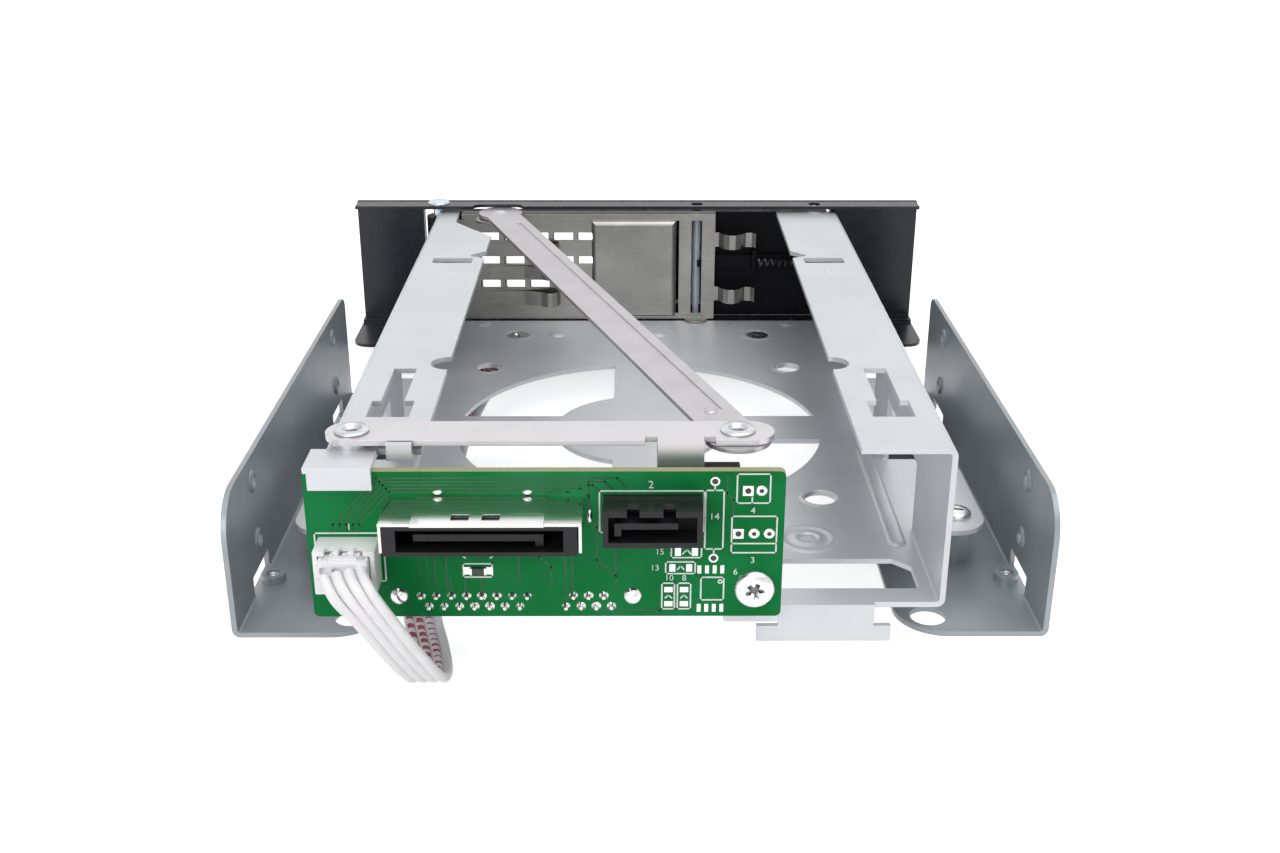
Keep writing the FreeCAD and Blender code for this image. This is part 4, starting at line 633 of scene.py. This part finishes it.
# X, Z, and the shares in width and height of the drops of solder on the connectors' tabs.
TAB_DROPS = [(33.2, 34.5, 0.85, 0.42), (18.6, 34.5, 0.85, 0.42), (8.5, 30.0, 0.5, 1.1)]


def trail(bm, points, width, rise):
    """Bars of that width through (X, Z) points, standing that far off the board's rear face."""
    for start, end in zip(points, points[1:]):
        add_stroke(bm, start, end, width, FACE, FACE + rise)


def numeral(bm, text, across, up, size):
    """A plain number in board print, read from the rear."""
    font = bpy.data.curves.new("numeral", "FONT")
    font.body = text
    font.size = size
    font.extrude = 0.017
    font.align_x = "CENTER"
    carrier = bpy.data.objects.new("numeral", font)
    mesh = bpy.data.meshes.new_from_object(carrier)
    axes = Matrix(((-1, 0, 0), (0, 0, 1), (0, 1, 0))).transposed().to_4x4()
    mesh.transform(Matrix.Translation((across, FACE + font.extrude, up)) @ axes)
    bm.from_mesh(mesh)
    bpy.data.objects.remove(carrier)
    bpy.data.meshes.remove(mesh)


def board_print():
    """White boxes, marks and plain numbers on the board."""
    bm = bmesh.new()
    for (left, right), (low, high) in PRINT_BOXES:
        corners = [(left, low), (right, low), (right, high), (left, high), (left, low)]
        trail(bm, corners, PRINT_WIDTH, PRINT_RISE)
    for points in PRINT_LINES:
        trail(bm, points, PRINT_WIDTH, PRINT_RISE)
    for text, across, up, size in NUMBERS:
        numeral(bm, text, across, up, size)
    ring = [(0.2, 0), (0.2, PRINT_RISE), (0.42, PRINT_RISE), (0.42, 0)]
    add_lathe(bm, ring, (-13.1, FACE, 17.9), REARWARDS, 20)
    piece("board_print", bm, INK, "cage")


def board_copper():
    """Runs of copper under the mask."""
    bm = bmesh.new()
    for i in range(5):
        foot, level = 50.6 - 1.1 * i, 36.9 - 0.62 * i
        bus = [(foot, 27.6), (foot, 28.6), (43.0 - 0.5 * i, level), (4.0 + 2 * i, level),
               (2.6 + 2 * i, level - 1.4)]
        trail(bm, bus, COPPER_WIDTH, COPPER_RISE)
    for across, top, low in COPPER_DROPS:
        trail(bm, [(across, top), (across, low)], COPPER_WIDTH, COPPER_RISE)
    for points in COPPER_BENDS:
        trail(bm, points, COPPER_WIDTH, COPPER_RISE)
    piece("board_copper", bm, TRACE, "cage")


def board_vias():
    """Small plated holes, covered by the mask."""
    bm = bmesh.new()
    for across, up in VIAS:
        add_lathe(bm, [(0, 0), (0.17, 0), (0.17, 0.02), (0, 0.02)], (across, FACE, up), REARWARDS, 10)
    piece("board_vias", bm, CHIP, "cage")


def flat_pads():
    """X, Z, width and height of every flat tinned pad."""
    flats = [(-6.0, 23.5, 1.0, 1.5), (-8.8, 23.5, 1.0, 1.5), (-5.1, 20.5, 1.0, 1.4), (-7.9, 20.5, 1.0, 1.4)]
    flats += [(across, up, 1.4, 1.0) for across in (-4.5, -7.1) for up in (16.4, 13.7)]
    flats += [(-9.6 - PIN_PITCH / 2 * i, up, 0.65, 1.5) for i in range(4) for up in (20.2, 12.9)]
    flats += [(across, up, 1.15, 1.35) for up in (20.0, 23.7) for across in (29.0, 25.3)]
    return flats + [(across, up, 1.75, 1.75) for across, up in SQUARE_PADS]


def board_pads():
    """Tinned pads, ring pads and the solder of the connectors' tabs on the rear face."""
    bm = bmesh.new()
    for across, up, wide, tall in flat_pads():
        edges, rows = (across - wide / 2, across + wide / 2), (up - tall / 2, up + tall / 2)
        add_box(bm, edges, (FACE, FACE + 0.07), rows)
    ring = [(0.38, 0), (0.38, 0.1), (0.55, 0.14), (0.85, 0.05), (0.9, 0)]
    for across, up in RING_PADS:
        add_lathe(bm, ring, (across, FACE, up), REARWARDS, 24)
    for across, up in LEAD_PADS:
        add_lathe(bm, [(0.5, 0), (0.5, 0.06), (0.8, 0.06), (0.8, 0)], (across, FACE, up), REARWARDS, 24)
    drop = [(1.1, 0), (0.9, 0.35), (0.5, 0.6), (0, 0.68)]
    for across, up, wide, tall in TAB_DROPS:
        lump = bmesh.new()
        add_lathe(lump, drop, (0, 0, 0), REARWARDS, 24)
        bmesh.ops.scale(lump, vec=(wide, 1, tall), verts=lump.verts)
        bmesh.ops.translate(lump, vec=(across, FACE, up), verts=lump.verts)
        join(bm, lump)
    piece("board_pads", bm, SOLDER, "cage", 50)


def painted_bore_shade():
    """Black discs that paint the shade in the open bores of the pads that nothing is soldered in."""
    # The black discs are painted shade where the bores are.
    bm = bmesh.new()
    for across, up in SQUARE_PADS + LEAD_PADS:
        add_lathe(bm, [(0, 0), (0.52, 0), (0.52, 0.08), (0, 0.08)], (across, FACE, up), REARWARDS, 16)
    for across, up in RING_PADS:
        add_lathe(bm, [(0, 0), (0.33, 0), (0.33, 0.02), (0, 0.02)], (across, FACE, up), REARWARDS, 16)
    piece("painted_bore_shade", bm, CHIP, "cage")


def solder_joints():
    """Cones of solder round cut pins: two staggered rows, and a stout post at either end."""
    upper, lower = 15.2, 13.2
    rows = ((36.9, 8, upper), (11.4, 3, upper),
            (36.9 - PIN_PITCH / 2, 7, lower), (11.4 + PIN_PITCH / 2, 4, lower))
    places = [(first - PIN_PITCH * i, up) for first, count, up in rows for i in range(count)]
    bm = bmesh.new()
    for i, (across, up) in enumerate(places):
        swell = 1 + 0.07 * math.sin(5.1 * i)
        cone = [(0.82 * swell, 0), (0.8 * swell, 0.06), (0.66 * swell, 0.16), (0.5, 0.42), (0.36, 0.62),
                (0.32, 0.85), (0.2, 0.94), (0, 0.95)]
        add_lathe(bm, cone, (across, FACE, up), (0, 1, 0.05 * math.cos(3 * i)), 18)
    post = [(1.6, 0), (1.5, 0.25), (1.15, 0.6), (0.75, 0.85), (0.5, 1.05), (0, 1.1)]
    for across in (40.6, 1.5):
        add_lathe(bm, post, (across, FACE, upper), (0.04, 1, 0.05), 28)
    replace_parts(piece("solder_joints", bm, SOLDER, "cage", 50), "solder_pins")


def chips():
    """Two chip resistors with tinned ends."""
    bm = bmesh.new()
    for low in CHIP_LOWS:
        add_box(bm, (26.1, 28.2), (FACE, FACE + 0.55), (low, low + 1.25), 0.06)
    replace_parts(piece("chip_bodies", bm, CHIP, "cage"), "board_parts")
    bm = bmesh.new()
    for low in CHIP_LOWS:
        for right in (25.75, 28.15):
            add_box(bm, (right, right + 0.4), (FACE, FACE + 0.58), (low, low + 1.25), 0.05)
    piece("chip_ends", bm, SOLDER, "cage")


# ---- white header, plug and flat cable ---------------------------------------------------------

# Points that pull the cable's smooth line along, from the plug to the light board.
CABLE_ROUTE = [
    (48.0, 78.9, 23.9), (46.8, 82.1, 22.9), (42.8, 82.5, 17.3), (38.9, 80.8, 9.8), (35.9, 77.8, 3.3),
    (35.1, 74.0, 1.6), (36.6, 66.0, 1.5), (39.8, 54.0, 1.5), (42.8, 36.0, 1.5), (42.2, 5.0, 1.5),
    (42.8, -28.0, 1.5), (40.6, -52.0, 1.5), (37.8, -66.0, 2.6), (37.0, -76.0, 4.4), (37.0, -86.0, 4.4)]
WIRE_COUNT = 4
WIRE_PITCH = 1.7
PLUG_PITCH = 2.0
PLUG_MIDDLE = 48.1
PARTED_LENGTH = 9.0                 # over this length from the plug the wires come together
ARC_POINTS = 8
ARC_ANGLES = [math.pi * (0.04 + 0.92 * step / (ARC_POINTS - 1)) for step in range(ARC_POINTS)]
HALF_OUTLINE = WIRE_COUNT * ARC_POINTS
DASH_SHARES = (0.5, 0.62, 0.3)      # how much of each printed wire's repeat is red
# Material slots of the cable: red print, and painted shade in the grooves between wires.
INK_SLOT, GROOVE_SHADE_SLOT = 1, 2


def header_and_plug():
    """Crimp header with its slotted walls and the plug in it, ribbed and windowed over each wire."""
    shell, hollow, slots = bmesh.new(), bmesh.new(), bmesh.new()
    add_box(shell, (43.1, 53.2), (FACE, 76.6), (18.6, 26.4), 0.2)
    add_box(hollow, (43.9, 52.4), (72.4, 77.5), (19.4, 25.6))
    for across in (45.0, 47.4, 49.8):
        add_box(slots, (across, across + 1.5), (74.8, 77.6), (25.0, 27.0))
    shell = carved(carved(shell, hollow), slots)
    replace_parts(piece("slotted_header", shell, NYLON, "cage"), "cable_header")
    body, windows = bmesh.new(), bmesh.new()
    add_box(body, (44.1, 52.2), (72.6, 78.2), (19.6, 25.4), 0.25)
    bore = [(0, -0.9), (0.78, -0.9), (0.78, 1.0), (0, 1.0)]
    for i in range(WIRE_COUNT):
        across = PLUG_MIDDLE + (i - (WIRE_COUNT - 1) / 2) * PLUG_PITCH
        add_box(windows, (across - 0.55, across + 0.55), (74.0, 77.2), (24.9, 26.0))
        add_lathe(windows, bore, (across, 78.2, 23.7), REARWARDS, 20)
    body = carved(body, windows)
    add_box(body, (45.8, 50.4), (76.7, 77.8), (25.3, 25.9), 0.12)
    plug = piece("ribbed_plug", body, NYLON, "cage")
    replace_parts(plug, "cable_plug")
    return plug


def route_points():
    """Points along the smooth line of the cable's route, in metres."""
    curve = bpy.data.curves.new("route", "CURVE")
    curve.dimensions = "3D"
    curve.resolution_u = 24
    spline = curve.splines.new("NURBS")
    spline.points.add(len(CABLE_ROUTE) - 1)
    for point, place in zip(spline.points, CABLE_ROUTE):
        point.co = (*(MM * value for value in place), 1)
    spline.order_u = 3
    spline.use_endpoint_u = True
    carrier = bpy.data.objects.new("route", curve)
    line = bpy.data.meshes.new_from_object(carrier)
    points = [vertex.co.copy() for vertex in line.vertices]
    bpy.data.objects.remove(carrier)
    bpy.data.meshes.remove(line)
    return points


def cable_section(travelled):
    """Outline of the joined wires as (across, high) points, parted a little near the plug."""
    parted = max(0.0, 1 - travelled / PARTED_LENGTH)
    pitch = WIRE_PITCH + (PLUG_PITCH - WIRE_PITCH) * parted
    radius = 0.5 * WIRE_PITCH * (1 - 0.06 * parted)
    upper = []
    for wire in range(WIRE_COUNT):
        middle = ((WIRE_COUNT - 1) / 2 - wire) * pitch
        upper += [(middle + radius * math.cos(a), radius * math.sin(a)) for a in ARC_ANGLES]
    return upper + [(across, -high) for across, high in reversed(upper)]


def cable_finish(i, travelled):
    """Material slot of a section's face at place i: painted shade between wires, a red dash or plain."""
    wire, spot = divmod(i % HALF_OUTLINE, ARC_POINTS)
    if spot == ARC_POINTS - 1:
        # The face at the groove between two wires gets painted shade.
        return 0 if i % HALF_OUTLINE == HALF_OUTLINE - 1 else GROOVE_SHADE_SLOT
    if i >= HALF_OUTLINE or wire >= len(DASH_SHARES) or not 2 <= spot <= 5:
        return 0
    beat = (travelled * (0.31 + 0.11 * wire) + 0.37 * wire) % 1.0
    return INK_SLOT if beat < DASH_SHARES[wire] else 0


def flat_cable(plug):
    """Four joined round wires swept along the route, printed on one side."""
    points = route_points()
    bm = bmesh.new()
    travelled, rings = 0.0, []
    for i, point in enumerate(points):
        ahead = (points[min(i + 1, len(points) - 1)] - points[max(i - 1, 0)]).normalized()
        side = (Vector((1, 0, 0)) - ahead * ahead.x).normalized()
        up = ahead.cross(side)
        travelled += (point - points[i - 1]).length / MM if i else 0.0
        ring = [bm.verts.new(point / MM + side * a + up * b) for a, b in cable_section(travelled)]
        rings.append((ring, travelled))
    for (first, place), (second, _) in zip(rings, rings[1:]):
        for i in range(len(first)):
            j = (i + 1) % len(first)
            face = bm.faces.new((first[i], first[j], second[j], second[i]))
            face.material_index = cable_finish(i, place)
    bm.faces.new(rings[0][0][::-1])
    bm.faces.new(rings[-1][0])
    bmesh.ops.recalc_face_normals(bm, faces=bm.faces)
    cable = piece("flat_cable", bm, JACKET, "cage", 70)
    cable.data.materials.append(CABLE_INK)
    cable.data.materials.append(CABLE_GROOVE_SHADE)
    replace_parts(cable, "ribbon_cable")


screws()
rivets()
cage_pressings()
for bracket_side, bracket_label in zip(SIDES, ("left", "right")):
    bracket_holes(bracket_side, bracket_label)
link_dimple()
board_print()
board_copper()
board_vias()
board_pads()
painted_bore_shade()
solder_joints()
chips()
flat_cable(header_and_plug())


# ---- floor, light and camera -------------------------------------------------------------------

FLOOR_REACH = 6.0                   # metres
FLOOR_GLOW = 0.7
SKY_STRENGTH = 0.48
SKY_LEVELS = ((0.0, 0.5), (0.12, 0.22), (0.45, 0.5), (0.8, 1.0))      # height in the sky, brightness
LAMP_AIM = (0, 0, 0.02)


def background_rays(tree):
    """Output that is 1 for the rays that show the background: to the camera, mirrored or let through."""
    path, total = tree.nodes.new("ShaderNodeLightPath"), None
    for label in ("Is Camera Ray", "Is Glossy Ray", "Is Transmission Ray"):
        if total is None:
            total = path.outputs[label]
            continue
        either = tree.nodes.new("ShaderNodeMath")
        either.operation = "MAXIMUM"
        tree.links.new(total, either.inputs[0])
        tree.links.new(path.outputs[label], either.inputs[1])
        total = either.outputs["Value"]
    return total


def floor():
    """Pale floor that shows as white, also in metal, with the object's soft shadow kept."""
    mesh = bpy.data.meshes.new("floor")
    signs = ((-1, -1), (1, -1), (1, 1), (-1, 1))
    mesh.from_pydata([(FLOOR_REACH * x, FLOOR_REACH * y, 0) for x, y in signs], [], [(0, 1, 2, 3)])
    plane = bpy.data.objects.new("floor", mesh)
    bpy.context.collection.objects.link(plane)
    finish = Finish("floor_white", roughness=0.6)
    finish.colour(finish.noise(0.4, 2), (0.3, (0.86, 0.86, 0.86)), (0.7, (0.88, 0.88, 0.88)))
    finish.shader.inputs["Emission Color"].default_value = (1, 1, 1, 1)
    glow = finish.node("ShaderNodeMath", operation="MULTIPLY")
    glow.inputs[1].default_value = FLOOR_GLOW
    finish.link(background_rays(finish.tree), glow.inputs[0])
    finish.link(glow.outputs["Value"], finish.shader.inputs["Emission Strength"])
    plane.data.materials.append(finish.material)


def lamp(name, place, size, watts):
    """Rectangular lamp at a place in metres, turned to the object."""
    light = bpy.data.lights.new(name, "AREA")
    light.shape = "RECTANGLE"
    light.size, light.size_y = size
    light.energy = watts
    made = bpy.data.objects.new(name, light)
    bpy.context.collection.objects.link(made)
    direction = Vector(LAMP_AIM) - Vector(place)
    made.matrix_world = Matrix.Translation(place) @ direction.to_track_quat("-Z", "Y").to_matrix().to_4x4()


def world():
    """White to the eye; as a light it is bright overhead and dim along the horizon."""
    sky = bpy.data.worlds.new("studio")
    bpy.context.scene.world = sky
    sky.use_nodes = True
    nodes, links = sky.node_tree.nodes, sky.node_tree.links
    place, split = nodes.new("ShaderNodeTexCoord"), nodes.new("ShaderNodeSeparateXYZ")
    links.new(place.outputs["Generated"], split.inputs["Vector"])
    height = nodes.new("ShaderNodeValToRGB")
    while len(height.color_ramp.elements) < len(SKY_LEVELS):
        height.color_ramp.elements.new(0.5)
    for element, (position, level) in zip(height.color_ramp.elements, SKY_LEVELS):
        element.position = position
        element.color = (level, level, level * 1.02, 1)
    links.new(split.outputs["Z"], height.inputs["Fac"])
    dim, white = nodes["Background"], nodes.new("ShaderNodeBackground")
    dim.inputs["Strength"].default_value = SKY_STRENGTH
    links.new(height.outputs["Color"], dim.inputs["Color"])
    mixed = nodes.new("ShaderNodeMixShader")
    links.new(background_rays(sky.node_tree), mixed.inputs["Fac"])
    links.new(dim.outputs["Background"], mixed.inputs[1])
    links.new(white.outputs["Background"], mixed.inputs[2])
    white.inputs["Color"].default_value = (1, 1, 1, 1)
    links.new(mixed.outputs["Shader"], nodes["World Output"].inputs["Surface"])


def camera():
    """Camera behind and above the cage, where it looks towards the door."""
    place = Vector((1.7, 286.2, 136.6)) * MM
    pitch, yaw, roll = math.radians(22.84), math.radians(0.37), math.radians(0.10)
    ahead = Vector((-math.sin(yaw) * math.cos(pitch), -math.cos(yaw) * math.cos(pitch), -math.sin(pitch)))
    level = Vector((-math.cos(yaw), math.sin(yaw), 0))
    upright = level.cross(ahead)
    right = level * math.cos(roll) + upright * math.sin(roll)
    up = upright * math.cos(roll) - level * math.sin(roll)
    data = bpy.data.cameras.new("view")
    data.sensor_width = 36.0
    data.lens = 41.21
    data.clip_start = 0.01
    made = bpy.data.objects.new("view", data)
    bpy.context.collection.objects.link(made)
    turned = Matrix((right, up, -ahead)).transposed().to_4x4()
    made.matrix_world = Matrix.Translation(place) @ turned
    bpy.context.scene.camera = made


floor()
world()
lamp("key", (-0.25, 0.25, 1.0), size=(1.0, 1.0), watts=5.6)
lamp("fill", (0.4, 0.85, 0.4), size=(0.7, 0.5), watts=3.2)
lamp("rear", (0.0, -0.8, 0.6), size=(1.4, 0.4), watts=0.8)
camera()
bpy.context.scene.view_settings.view_transform = "Standard"
